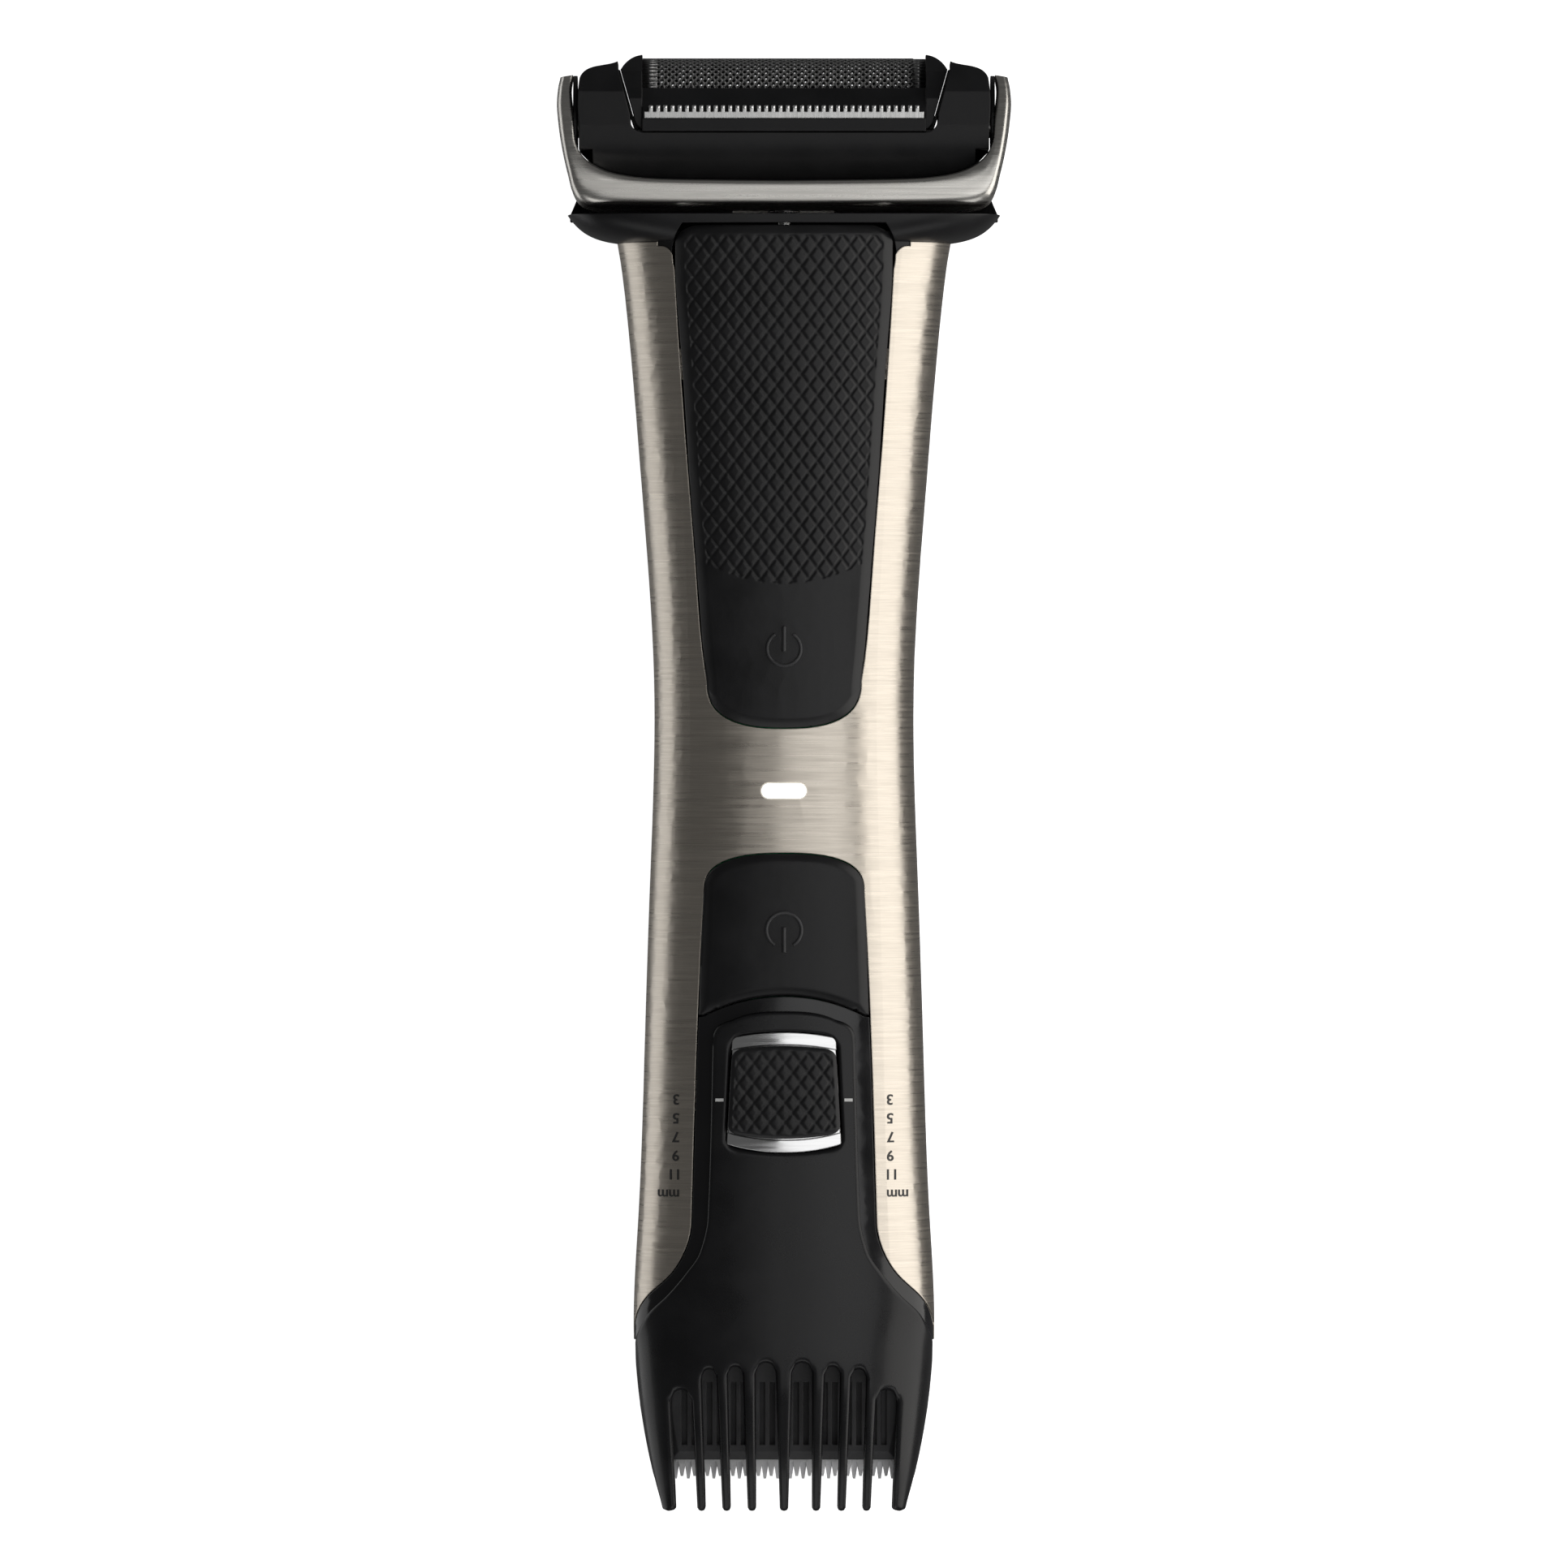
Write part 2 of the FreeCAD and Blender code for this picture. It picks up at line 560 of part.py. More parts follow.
def cartridge():
    steps = [(93.6, 8.4), (96.1, 8.4), (96.1, 10.8), (98.0, 10.5), (98.0, 9.6), (99.6, 9.0), (100.6, 8.0),
             (102.6, 6.6)]
    rim = mirrored_profile("cartridge_rim", steps, 20.9)
    room = box("cartridge_room", (-20.9, 90, "dims.axis_height-5.9"), (41.8, 20, 11.8))
    cap_runs = [[(0, 96.2), (19.8, 96.2)], [(19.8, 96.2), (21.3, 96.7), (22.2, 98.7)],
                [(22.2, 98.7), (24.1, 105.3)], [(24.1, 105.3), (21.8, 107.4), (20.1, 107.6)]]
    cap_room = box("cap_room", (-20.9, 90, 0), (41.8, 20, 40))
    caps = cut("cartridge_caps", prism("cap_outline", cap_runs, 8.7, 26.3), cap_room)
    side_view = mirrored_profile("cap_side", [(96.1, 8.8), (101.0, 8.8), (105.0, 7.0), (107.6, 3.4)], 30)
    caps = common("cap_shaped", caps, side_view)
    feet = [box("cap_foot_left", (-21.7, 93.6, 9.4), (1.4, 2.8, 16.2)),
            box("cap_foot_right", (20.3, 93.6, 9.4), (1.4, 2.8, 16.2))]
    node("cartridge_frame", fuse("cartridge_fused", cut("rim_cut", rim, room), caps, *feet))


def foil():
    axis = ("dims.foil_y", "dims.axis_height")
    outer = rod("foil_outer", ("-dims.foil_half", *axis), "x", "dims.foil_radius", "2*dims.foil_half")
    inner = rod("foil_inner", ("-dims.foil_half-1", *axis), "x", "dims.foil_radius-dims.foil_wall",
                "2*dims.foil_half+2")
    legs = []
    for name, level in (("foil_leg_front", "dims.axis_height+dims.foil_radius-dims.foil_wall"),
                        ("foil_leg_back", "dims.axis_height-dims.foil_radius")):
        legs.append(box(name, ("-dims.foil_half", 98.4, level),
                        ("2*dims.foil_half", "dims.foil_y-98.4", "dims.foil_wall")))
    arch = common("foil_arch", cut("foil_tube", outer, inner), full_box("foil_bound", "dims.foil_y", 120))
    node("foil", fuse("foil_fused", arch, *legs))


def guard_comb(name, plane, thickness):
    """Strip with a row of hair-raising teeth that stand up beside the foil."""
    body = new_body(name)
    strip = sketch(body, name + "_strip", "XY_Plane", plane)
    sketch_box(strip, ("-20.6", "98.0"), ("20.6", "99.0"))
    pad(body, name + "_strip_pad", strip, thickness)
    tooth = sketch(body, name + "_tooth", "XY_Plane", plane)
    first = "-dims.guard_pitch*(dims.guard_count-1)/2"
    sketch_box(tooth, (first + "-0.28", "98.9"), (first + "+0.28", "99.9"))
    feature = pad(body, name + "_tooth_pad", tooth, thickness)
    row_of(body, name + "_teeth", feature, "dims.guard_count", "dims.guard_pitch")
    node(name, body)


def cutter():
    body = new_body("cutter_block")
    side = sketch(body, "cutter_side", "YZ_Plane", "-dims.cutter_half")
    sketch_circle(side, ("dims.foil_y", "dims.axis_height"), "dims.cutter_radius")
    block = pad(body, "cutter_pad", side, "2*dims.cutter_half")
    document.recompute()
    lower = sketch(body, "cutter_under", "XY_Plane", 0)
    sketch_box(lower, ("-25", "90"), ("25", "99.2"))
    pocket(body, "cutter_under_cut", lower, "40")
    gap = sketch(body, "cutter_gap", "XY_Plane", 0)
    sketch_box(gap, ("-dims.cutter_half+1.0", "101.8"), ("-dims.cutter_half+1.7", "108"))
    feature = pocket(body, "cutter_gap_cut", gap, "40")
    row_of(body, "cutter_gaps", feature, "27", "1.385")
    node("cutter_block", body)

    bar = box("fork_bar", (-12, 96.3, 14.6), (24, 1.2, 5.8))
    stem = box("fork_stem", (-5.6, 88.9, 14.6), (11.2, 7.8, 5.8))
    slot = box("fork_slot", (-4.0, 88, 10), (8, 6.6, 15))
    node("cutter_fork", cut("fork_cut", fuse("fork_solid", bar, stem), slot))
    springs = []
    for side, x in (("left", -9.5), ("right", 9.5)):
        tube = rod("spring_" + side, (x, 97.5, "dims.axis_height"), "y", 1.9, 1.7)
        springs.append(cut("spring_tube_" + side, tube,
                           rod("spring_core_" + side, (x, 97, "dims.axis_height"), "y", 1.3, 3)))
    node("cutter_springs", group("spring_group", *springs))


def eccentric(name, start, length, height, offset, pin_radius, pin_length, way):
    """Motor shaft with a disc and an off-centre drive pin at its end. way is +1 or -1 along Y."""
    low = start if way > 0 else start - length
    shaft = rod(name + "_shaft", (0, low, height), "y", "dims.shaft_radius", length)
    disc_low = start + way * length - (0 if way > 0 else 2)
    disc = rod(name + "_disc", (0, disc_low, height), "y", 2.4, 2)
    pin_low = disc_low + 1.5 if way > 0 else disc_low - pin_length + 0.5
    pin = rod(name + "_pin", (0, pin_low, "%s+%s" % (height, offset)), "y", pin_radius, pin_length)
    node(name, fuse(name + "_fused", shaft, disc, pin))


# ---------------------------------------------------------------- trimmer

def blade(name, plane, root, tip, back, half, count, thickness):
    """Flat blade with a row of pointed teeth along its -Y edge."""
    body = new_body(name)
    plate = sketch(body, name + "_plate", "XY_Plane", plane)
    sketch_box(plate, ("-(%s)" % half, root), (half, back))
    pad(body, name + "_plate_pad", plate, thickness)
    tooth = sketch(body, name + "_tooth", "XY_Plane", plane)
    first = "-dims.tooth_pitch*(%s-1)/2" % count
    sketch_polygon(tooth, [(first + "-0.62", root + "+0.1"), (first + "-0.2", tip),
                           (first + "+0.2", tip), (first + "+0.62", root + "+0.1")])
    feature = pad(body, name + "_tooth_pad", tooth, thickness)
    row_of(body, name + "_teeth", feature, count, "dims.tooth_pitch")
    node(name, body)


def trimmer():
    plan = prism("holder_plan", [[(0, -99.8), (17.2, -99.8)], [(17.2, -99.8), (18.9, -86)],
                                 [(18.9, -86), (18.9, -79)]])
    side_view = profile("holder_side", [(-79, 5.6), (-86, 7.6), (-99.8, 12.2), (-99.8, 17.0), (-98.6, 18.2),
                                        (-88, 21.4), (-79, 23.4)], 30)
    slot = box("holder_slot", (-17.3, -101, 13.7), (34.6, 9, 2.1))
    room = box("holder_room", (-6.2, -94.2, 10.6), (12.4, 20, 7.2))
    pockets = []
    for number, centre in enumerate((2.5, 6.75, 10.3, 14.0)):
        for side in (-1, 1):
            for way in (-1, 1):
                start = side * centre + (0.33 if way > 0 else -0.33 - 0.8)
                label = "holder_pocket_%d_%d_%d" % (number, side + 1, way + 1)
                pockets.append(box(label, (start, -97.6, 10), (0.8, 9.4, 20)))
    bound = loft("holder_bound", [ring(19.5, 5.5, 23.6, -78.5), ring(19.4, 5.6, 23.9, -83.0),
                                  ring(19.3, 5.8, 24.0, -88.0), ring(18.3, 8.2, 21.9, -95.0),
                                  ring(17.3, 10.6, 19.1, -100.5)])
    ribbed = cut("holder_ribbed", common("holder_solid", plan, side_view, bound), slot, room)
    above = profile("pocket_depth", [(-100, 16.1), (-98.6, 17.35), (-88, 20.55), (-79, 22.4),
                                     (-79, 40), (-100, 40)], 30)
    shallow = common("rib_cutters", fuse("rib_pockets", *pockets), above)
    node("trimmer_holder", cut("holder_cut", ribbed, shallow))

    blade("fixed_blade", "13.72", "dims.tooth_root", "dims.tooth_tip", "-93.2", "dims.blade_half",
          "dims.tooth_count", "dims.blade_thick")
    blade("moving_blade", "14.46", "dims.tooth_root-0.3", "dims.tooth_tip+0.4", "-92.8", "16.0",
          "dims.tooth_count-1", "dims.blade_thick")
    block = box("drive_block", (-4.6, -92.8, 11.4), (9.2, 6.2, 6.2))
    slot = box("drive_slot", (-2.8, -91.4, 8), (5.6, 6, 14))
    node("trimmer_drive_block", cut("drive_cut", block, slot))
    node("blade_spring", box("spring_strip", (-9, -98.2, 15.24), (18, 3.4, 0.5)))


# ---------------------------------------------------------------- length comb

# each slot: its two sides at the top, its two sides at the tips, and its top edge
COMB_SLOTS = (((1.2, 4.15), (0.62, 4.12), -85.3), ((6.1, 8.3), (5.36, 7.88), -85.9),
              ((10.0, 12.2), (9.12, 11.62), -86.3), ((13.7, 16.9), (12.86, 16.1), -89.4))


def comb_slot(name, tops, tips, top_y, side):
    """Tapered slot between two teeth, rounded at its top."""
    radius = (tops[1] - tops[0]) / 2.0
    beyond = size("comb_tip") - 1.0
    near, far = Vector(side * tops[0], top_y - radius, -1), Vector(side * tops[1], top_y - radius, -1)
    near_tip, far_tip = Vector(side * tips[0], beyond, -1), Vector(side * tips[1], beyond, -1)
    crown = Part.Arc(near, Vector(side * (tops[0] + radius), top_y, -1), far)
    outline = document.addObject("Part::Feature", name + "_outline")
    outline.Shape = Part.Wire([Part.LineSegment(near_tip, near).toShape(), crown.toShape(),
                               Part.LineSegment(far, far_tip).toShape(),
                               Part.LineSegment(far_tip, near_tip).toShape()])
    item = document.addObject("Part::Extrusion", name)
    item.Base = outline
    item.DirMode = "Custom"
    item.Dir = Vector(0, 0, 1)
    item.LengthFwd = 41.0
    item.Solid = True
    return item


def comb():
    outside = loft("comb_outside", [ring(22.15, 3.0, 27.6, -81.6), ring(21.65, 3.6, 26.6, -88.7),
                                    ring(20.8, 5.0, 24.8, -94.8), ring(19.6, 7.2, 22.4, -100.9),
                                    ring(17.9, 10.4, 18.6, size("comb_tip"))])
    inside = loft("comb_inside", [ring(20.0, 4.6, 25.2, -81.5), ring(19.9, 4.9, 24.8, -88.0),
                                  ring(18.9, 7.4, 22.6, -95.0), ring(17.9, 9.8, 19.8, -101.0),
                                  ring(16.4, 12.6, 16.4, -105.4)])
    slots = []
    for number, (tops, tips, top_y) in enumerate(COMB_SLOTS):
        for side in (-1, 1):
            slots.append(comb_slot("comb_slot_%d_%d" % (number, side + 1), tops, tips, top_y, side))
    head = cut("comb_head", outside, inside, *slots)
    stem = common("stem_skin", layer("stem_layer", size("stem_low"), size("stem_high")),
                  comb_stem("stem_area"), full_box("stem_bound", -83, 0, 15))
    opening = pad_outline("cradle_opening", 0.1, -37.4, -53.0)
    over_shell = cut("comb_clearance", handle_form("comb_under", size("stem_low")),
                     full_box("comb_past_end", -120, "dims.comb_start"))
    end_gap = full_box("comb_end_gap", "dims.comb_start", -81.5, 0, 26.4)
    node("length_comb", cut("comb_cut", fuse("comb_fused", head, stem), opening, over_shell, end_gap))

    dish = common("cradle_skin", layer("cradle_layer", size("stem_low"), 1.45),
                  full_box("cradle_above", -90, 0, 15), pad_outline("cradle_area", 0.0, -37.4, -53.0))
    hollow = cut("cradle_hollow", pad_outline("cradle_pad_area", 0.25, -39.4, -51.0),
                 handle_form("cradle_floor", 0.6))
    node("comb_cradle", cut("cradle_cut", dish, hollow))
    node("comb_lock_pad", common("pad_solid", layer("pad_layer", 1.2, 2.7), full_box("pad_above", -90, 0, 15),
                                 pad_outline("pad_area", 0.0, -39.4, -51.0)))

    web = common("carriage_web", box("web_box", (-3, -63, 23.2), (6, 6, 8)),
                 handle_form("web_bound", size("stem_low") - 0.03))
    flange = box("carriage_flange", (-6, -64, 22.4), (12, 8, 1.4))
    node("comb_carriage", fuse("carriage_fused", web, flange))
    rack = box("rack_strip", (7.0, -72, 22.4), (1.8, 22, 1.4))
    notches = []
    for number in range(int(size("comb_steps")) + 1):
        place = "-56-%d*dims.comb_step" % number
        notches.append(rod("rack_notch_%d" % number, (6.6, place, 22.4), "x", 0.7, 3))
    node("detent_rack", cut("rack_cut", rack, *notches))


# ---------------------------------------------------------------- inside the handle

def drive_parts():
    height = "dims.axis_height"
    low_height = "dims.trimmer_height"
    node("shaver_motor", rod("motor_can", (0, "dims.motor_y", height), "y",
                             "dims.motor_radius", "dims.motor_length"))
    node("trimmer_motor", rod("small_motor_can", (0, "dims.small_motor_y", low_height), "y",
                              "dims.small_motor_radius", "dims.small_motor_length"))
    eccentric("shaver_eccentric", 69.0, 15.4, height, "dims.eccentric_offset", 0.8, 5.2, 1)
    eccentric("trimmer_eccentric", -70.0, 12.0, low_height, "0.9", 0.7, 5.4, -1)
    plate = box("mount_plate", (-9.5, -72.0, 10.2), (19, 2, 12))
    hole = rod("mount_hole", (0, -73, low_height), "y", 3.1, 4)
    node("trimmer_motor_mount", cut("mount_cut", plate, hole))
    for name, y, level in (("shaver_shaft_seal", 70.0, height), ("trimmer_shaft_seal", -71.0, low_height)):
        seal = document.addObject("Part::Torus", name + "_ring")
        seal.Placement = Placement(Vector(0, y, 0), Rotation(Vector(1, 0, 0), -90))
        bind(seal, {"Radius1": "dims.shaft_radius+1.05", "Radius2": "0.95", "Placement.Base.z": level})
        node(name, seal)


def electronics():
    node("battery", rod("battery_can", (0, "-dims.battery_length/2+5", "dims.battery_height"), "y",
                        "dims.battery_radius", "dims.battery_length"))
    tabs = [box("tab_low", (-4, "-dims.battery_length/2+4.6", 8), (8, 0.4, 10.6)),
            box("tab_high", (-4, "dims.battery_length/2+5", 8), (8, 0.4, 10.6))]
    node("battery_tabs", group("tab_group", *tabs))

    for name, low, high, margin, level, thickness in (
            ("inner_frame", "-40", "42", "1.2", "dims.board_level-1.3", "1.3"),
            ("circuit_board", "dims.board_low", "dims.board_high", "0", "dims.board_level",
             "dims.board_thick")):
        body = new_body(name)
        plate = sketch(body, name + "_outline", "XY_Plane", level)
        half = "(dims.board_half+%s)" % margin
        sketch_box(plate, ("-" + half, low), (half, high))
        for x in ("-9", "9"):
            for y in ("-28", "36"):
                sketch_circle(plate, (x, y), "1.1")
        pad(body, name + "_pad", plate, thickness)
        node(name, body)
    pins = []
    for number, (x, y) in enumerate(((-9, -28), (9, -28), (-9, 36), (9, 36))):
        pins.append(rod("stake_%d" % number, (x, y, "dims.board_level-1.3"), "z", 1.1, 3.3))
    node("board_pegs", group("peg_group", *pins))
    top = "dims.board_level+dims.board_thick"
    switches, domes = [], []
    for name, y in (("shaver", 19.9), ("trimmer", -21.5)):
        switches.append(box("switch_" + name, (-3, y - 3, top), (6, 6, 1.4)))
        domes.append(rod("dome_" + name, (0, y, top + "+1.4"), "z", 2.2, 1.2))
    node("button_switches", group("switch_group", *switches))
    node("button_domes", group("dome_group", *domes))
    node("light_emitter", box("emitter", (-1.6, "dims.light_y-0.8", top), (3.2, 1.6, 1.0)))
    start = (0, "dims.socket_y", 3.2)
    shell = rod("socket_body", start, "z", "dims.socket_radius+1.5", "dims.socket_depth+1.0")
    bore = rod("socket_bore", start, "z", "dims.socket_radius", "dims.socket_depth")
    node("charge_socket", cut("socket_cut", shell, bore))


# ---------------------------------------------------------------- build and write

shells()
panels()
neck_collar()
head_yoke()
head_housing()
cartridge()
foil()
guard_comb("front_guard_comb", "dims.axis_height+9.7", "0.45")
guard_comb("rear_guard_comb", "dims.axis_height-10.15", "0.45")
cutter()
trimmer()
comb()
drive_parts()
electronics()
document.recompute()

for item in document.Objects:
    if "Invalid" in item.State or "Error" in item.State:
        raise RuntimeError("%s failed: %s" % (item.Name, item.State))
os.makedirs("parts", exist_ok=True)
for name, item in nodes.items():
    if item.Shape.isNull() or not item.Shape.Solids or not item.Shape.isValid():
        raise RuntimeError(name + " has no valid solid")
    item.Shape.exportStep("parts/%s.step" % name)
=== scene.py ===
import json
import math

import bmesh
import bpy
from mathutils import Matrix, Vector
from mathutils.bvhtree import BVHTree
from mathutils.kdtree import KDTree


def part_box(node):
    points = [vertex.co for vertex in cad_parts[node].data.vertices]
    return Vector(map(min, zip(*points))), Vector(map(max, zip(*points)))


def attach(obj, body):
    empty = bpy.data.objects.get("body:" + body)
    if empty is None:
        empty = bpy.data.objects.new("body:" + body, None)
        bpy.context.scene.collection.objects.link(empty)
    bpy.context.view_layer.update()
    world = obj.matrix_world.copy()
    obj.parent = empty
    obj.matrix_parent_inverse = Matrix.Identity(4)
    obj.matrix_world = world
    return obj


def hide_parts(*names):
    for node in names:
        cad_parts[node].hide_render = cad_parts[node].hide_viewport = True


# A body groomer lying on its back, seen from straight above its front. The frame is the
# CAD model's: +Y towards the foil head, +Z out of the front. Lengths are in metres, and
# MM turns a length in millimetres into metres.

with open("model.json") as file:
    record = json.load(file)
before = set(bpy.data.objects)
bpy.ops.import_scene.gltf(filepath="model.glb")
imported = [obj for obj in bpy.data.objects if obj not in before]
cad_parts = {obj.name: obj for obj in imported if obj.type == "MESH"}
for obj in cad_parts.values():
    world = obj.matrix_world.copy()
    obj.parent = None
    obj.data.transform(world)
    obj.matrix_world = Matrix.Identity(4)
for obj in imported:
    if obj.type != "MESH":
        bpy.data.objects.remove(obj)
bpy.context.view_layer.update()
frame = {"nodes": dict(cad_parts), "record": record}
nodes = frame["nodes"]
scene = bpy.context.scene
MM = 0.001


# ---------------------------------------------------------------- materials

def shader(name, colour, metallic=0.0, roughness=0.4, coat=0.0, emission=None, alpha=1.0):
    """Principled material with the constant values on the shader's own sockets."""
    material = bpy.data.materials.new(name)
    material.use_nodes = True
    principled = material.node_tree.nodes["Principled BSDF"]
    principled.inputs["Base Color"].default_value = (*colour, 1.0)
    principled.inputs["Metallic"].default_value = metallic
    principled.inputs["Roughness"].default_value = roughness
    principled.inputs["Coat Weight"].default_value = coat
    principled.inputs["Coat Roughness"].default_value = 0.12
    principled.inputs["Alpha"].default_value = alpha
    if emission:
        principled.inputs["Emission Color"].default_value = (*emission[:3], 1.0)
        principled.inputs["Emission Strength"].default_value = emission[3]
    return material, principled


def noise(material, scale, stretch=(1.0, 1.0, 1.0), detail=3.0):
    """Noise in object space. scale is in features per metre, stretched along each axis."""
    tree = material.node_tree
    coordinates = tree.nodes.new("ShaderNodeTexCoord")
    mapping = tree.nodes.new("ShaderNodeMapping")
    mapping.inputs["Scale"].default_value = stretch
    texture = tree.nodes.new("ShaderNodeTexNoise")
    texture.inputs["Scale"].default_value = scale
    texture.inputs["Detail"].default_value = detail
    tree.links.new(coordinates.outputs["Object"], mapping.inputs["Vector"])
    tree.links.new(mapping.outputs["Vector"], texture.inputs["Vector"])
    return texture.outputs["Fac"]


def vary_colour(material, principled, factor, dark, light):
    """Colour that wanders between two shades with a noise."""
    tree = material.node_tree
    ramp = tree.nodes.new("ShaderNodeValToRGB")
    ramp.color_ramp.elements[0].position = 0.35
    ramp.color_ramp.elements[1].position = 0.65
    ramp.color_ramp.elements[0].color = (*dark, 1.0)
    ramp.color_ramp.elements[1].color = (*light, 1.0)
    tree.links.new(factor, ramp.inputs["Fac"])
    tree.links.new(ramp.outputs["Color"], principled.inputs["Base Color"])


def vary_roughness(material, principled, factor, low, high):
    tree = material.node_tree
    span = tree.nodes.new("ShaderNodeMapRange")
    span.inputs["To Min"].default_value = low
    span.inputs["To Max"].default_value = high
    span.inputs["From Min"].default_value = 0.3
    span.inputs["From Max"].default_value = 0.7
    tree.links.new(factor, span.inputs["Value"])
    tree.links.new(span.outputs["Result"], principled.inputs["Roughness"])


def add_bump(material, principled, height, distance, strength=1.0, round_edge=0.25 * MM):
    """Fine relief on top of edges that catch the light as if they were rounded."""
    tree = material.node_tree
    edges = tree.nodes.new("ShaderNodeBevel")
    edges.samples = 6
    edges.inputs["Radius"].default_value = round_edge
    bump = tree.nodes.new("ShaderNodeBump")
    tree.links.new(edges.outputs["Normal"], bump.inputs["Normal"])
    bump.inputs["Strength"].default_value = strength
    bump.inputs["Distance"].default_value = distance
    tree.links.new(height, bump.inputs["Height"])
    tree.links.new(bump.outputs["Normal"], principled.inputs["Normal"])


def shade(colour, factor):
    return tuple(min(1.0, channel * factor) for channel in colour)


def brushed(name, colour, roughness, across=(0.02, 1.0, 0.02), depth=0.003 * MM, contrast=0.07):
    """Metal with a fine grain. across shortens the axis that the grain runs along."""
    material, principled = shader(name, colour, metallic=1.0, roughness=roughness)
    grain = noise(material, 9000.0, across, detail=4.0)
    vary_colour(material, principled, grain, shade(colour, 1.0 - contrast), shade(colour, 1.0 + contrast))
    vary_roughness(material, principled, noise(material, 2600.0, across), roughness - 0.06, roughness + 0.08)
    add_bump(material, principled, grain, depth)
    return material


def plastic(name, colour, roughness, grain=5200.0, depth=0.006 * MM, coat=0.0, specular=0.3):
    """Moulded plastic with a fine spark-eroded grain and slight mottling."""
    material, principled = shader(name, colour, roughness=roughness, coat=coat)
    principled.inputs["Specular IOR Level"].default_value = specular
    fine = noise(material, grain, detail=2.0)
    broad = noise(material, 160.0, detail=4.0)
    vary_colour(material, principled, broad, shade(colour, 0.85), shade(colour, 1.2))
    vary_roughness(material, principled, broad, roughness - 0.04, roughness + 0.05)
    add_bump(material, principled, fine, depth)
    return material


def printed(name, colour):
    material, principled = shader(name, colour, roughness=0.45)
    add_bump(material, principled, noise(material, 6000.0), 0.003 * MM)
    return material


def glowing(name):
    material, principled = shader(name, (0.9, 0.93, 1.0), roughness=0.2, emission=(1.0, 1.0, 1.0, 1.6))
    add_bump(material, principled, noise(material, 3000.0), 0.004 * MM)
    return material


NICKEL = (0.64, 0.585, 0.51)
METAL = brushed("brushed_nickel", NICKEL, 0.30)
YOKE_METAL = brushed("satin_silver", (0.70, 0.68, 0.64), 0.27, depth=0.002 * MM, contrast=0.05)
STEEL = brushed("ground_steel", (0.66, 0.66, 0.65), 0.24, across=(1.0, 0.03, 1.0), depth=0.002 * MM)
FOIL_STEEL = brushed("foil_steel", (0.27, 0.27, 0.27), 0.3, across=(1.0, 1.0, 1.0), depth=0.001 * MM,
                     contrast=0.05)
CHROME = brushed("mirror_chrome", (0.86, 0.86, 0.86), 0.10, depth=0.0004 * MM, contrast=0.02)
BLACK = plastic("satin_black", (0.012, 0.012, 0.013), 0.34)
GRIP_BLACK = plastic("grip_black", (0.014, 0.014, 0.015), 0.36, coat=0.05)
GLOSS = plastic("gloss_black", (0.008, 0.008, 0.009), 0.16, depth=0.001 * MM, coat=0.5)
COMB_BLACK = plastic("comb_black", (0.010, 0.010, 0.011), 0.28, coat=0.1)
HOLDER_GREY = plastic("holder_grey", (0.045, 0.045, 0.047), 0.36)
CUTTER_DARK = brushed("cutter_dark", (0.05, 0.05, 0.05), 0.35)
# Near-white plastic on the steel blades: a painted highlight that stands in for the bright glint of their
# teeth.
BLADE_PAINTED_GLINT = plastic("blade_painted_glint", (0.78, 0.78, 0.79), 0.3, depth=0.001 * MM, specular=0.6)
BACK_BLACK = plastic("back_black", (0.03, 0.03, 0.032), 0.5, depth=0.015 * MM)
RUBBER = plastic("grip_rubber", (0.022, 0.022, 0.023), 0.68, grain=3500.0, depth=0.03 * MM)
INNER = plastic("inner_grey", (0.18, 0.18, 0.19), 0.5)
BOARD = plastic("solder_mask", (0.02, 0.17, 0.08), 0.3)
CELL = plastic("cell_sleeve", (0.04, 0.13, 0.38), 0.35)
COPPER = brushed("plated_copper", (0.80, 0.52, 0.30), 0.3)
LIGHT = glowing("status_glow")
WHITE_PRINT = printed("white_print", (0.72, 0.72, 0.71))
DARK_PRINT = printed("dark_print", (0.03, 0.03, 0.03))
ICON = plastic("icon_black", (0.045, 0.045, 0.047), 0.3)

BY_SLOT = {"shell_metal": METAL, "yoke_metal": YOKE_METAL, "black_plastic": BLACK, "grip_panel": GRIP_BLACK,
           "gloss_black": GLOSS, "back_plastic": BACK_BLACK, "grip_rubber": RUBBER, "steel": STEEL,
           "chrome": CHROME, "light": LIGHT, "inner_plastic": INNER, "board": BOARD, "copper": COPPER,
           "cell": CELL, "seal_rubber": RUBBER}
BY_NODE = {"length_comb": COMB_BLACK, "trimmer_holder": HOLDER_GREY, "foil": FOIL_STEEL,
           "cutter_block": CUTTER_DARK, "fixed_blade": BLADE_PAINTED_GLINT, "moving_blade": BLADE_PAINTED_GLINT}


def dress_cad_nodes():
    slots = {part["node"]: part["material_slot"] for part in frame["record"]["subparts"]}
    for name, item in nodes.items():
        material = BY_NODE.get(name, BY_SLOT[slots[name]])
        if not item.material_slots:
            item.data.materials.append(material)
        for entry in item.material_slots:
            entry.material = material
        round_edges(item, 0.15 * MM)


def round_edges(item, width):
    """Small rounds on the sharp edges, as moulded and pressed pieces have."""
    bevel = item.modifiers.new("rounds", "BEVEL")
    bevel.width = width
    bevel.segments = 2
    bevel.limit_method = "ANGLE"
    bevel.angle_limit = math.radians(38)
    bevel.harden_normals = False
    bevel.use_clamp_overlap = True
    normals = item.modifiers.new("normals", "WEIGHTED_NORMAL")
    normals.keep_sharp = True


# ---------------------------------------------------------------- making pieces

def piece(name, vertices, faces, material, body, smooth=True):
    mesh = bpy.data.meshes.new(name)
    mesh.from_pydata(vertices, [], faces)
    mesh.validate()
    mesh.update()
    mesh.materials.append(material)
    if smooth:
        mesh.shade_smooth()
    item = bpy.data.objects.new(name, mesh)
    scene.collection.objects.link(item)
    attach(item, body)
    return item


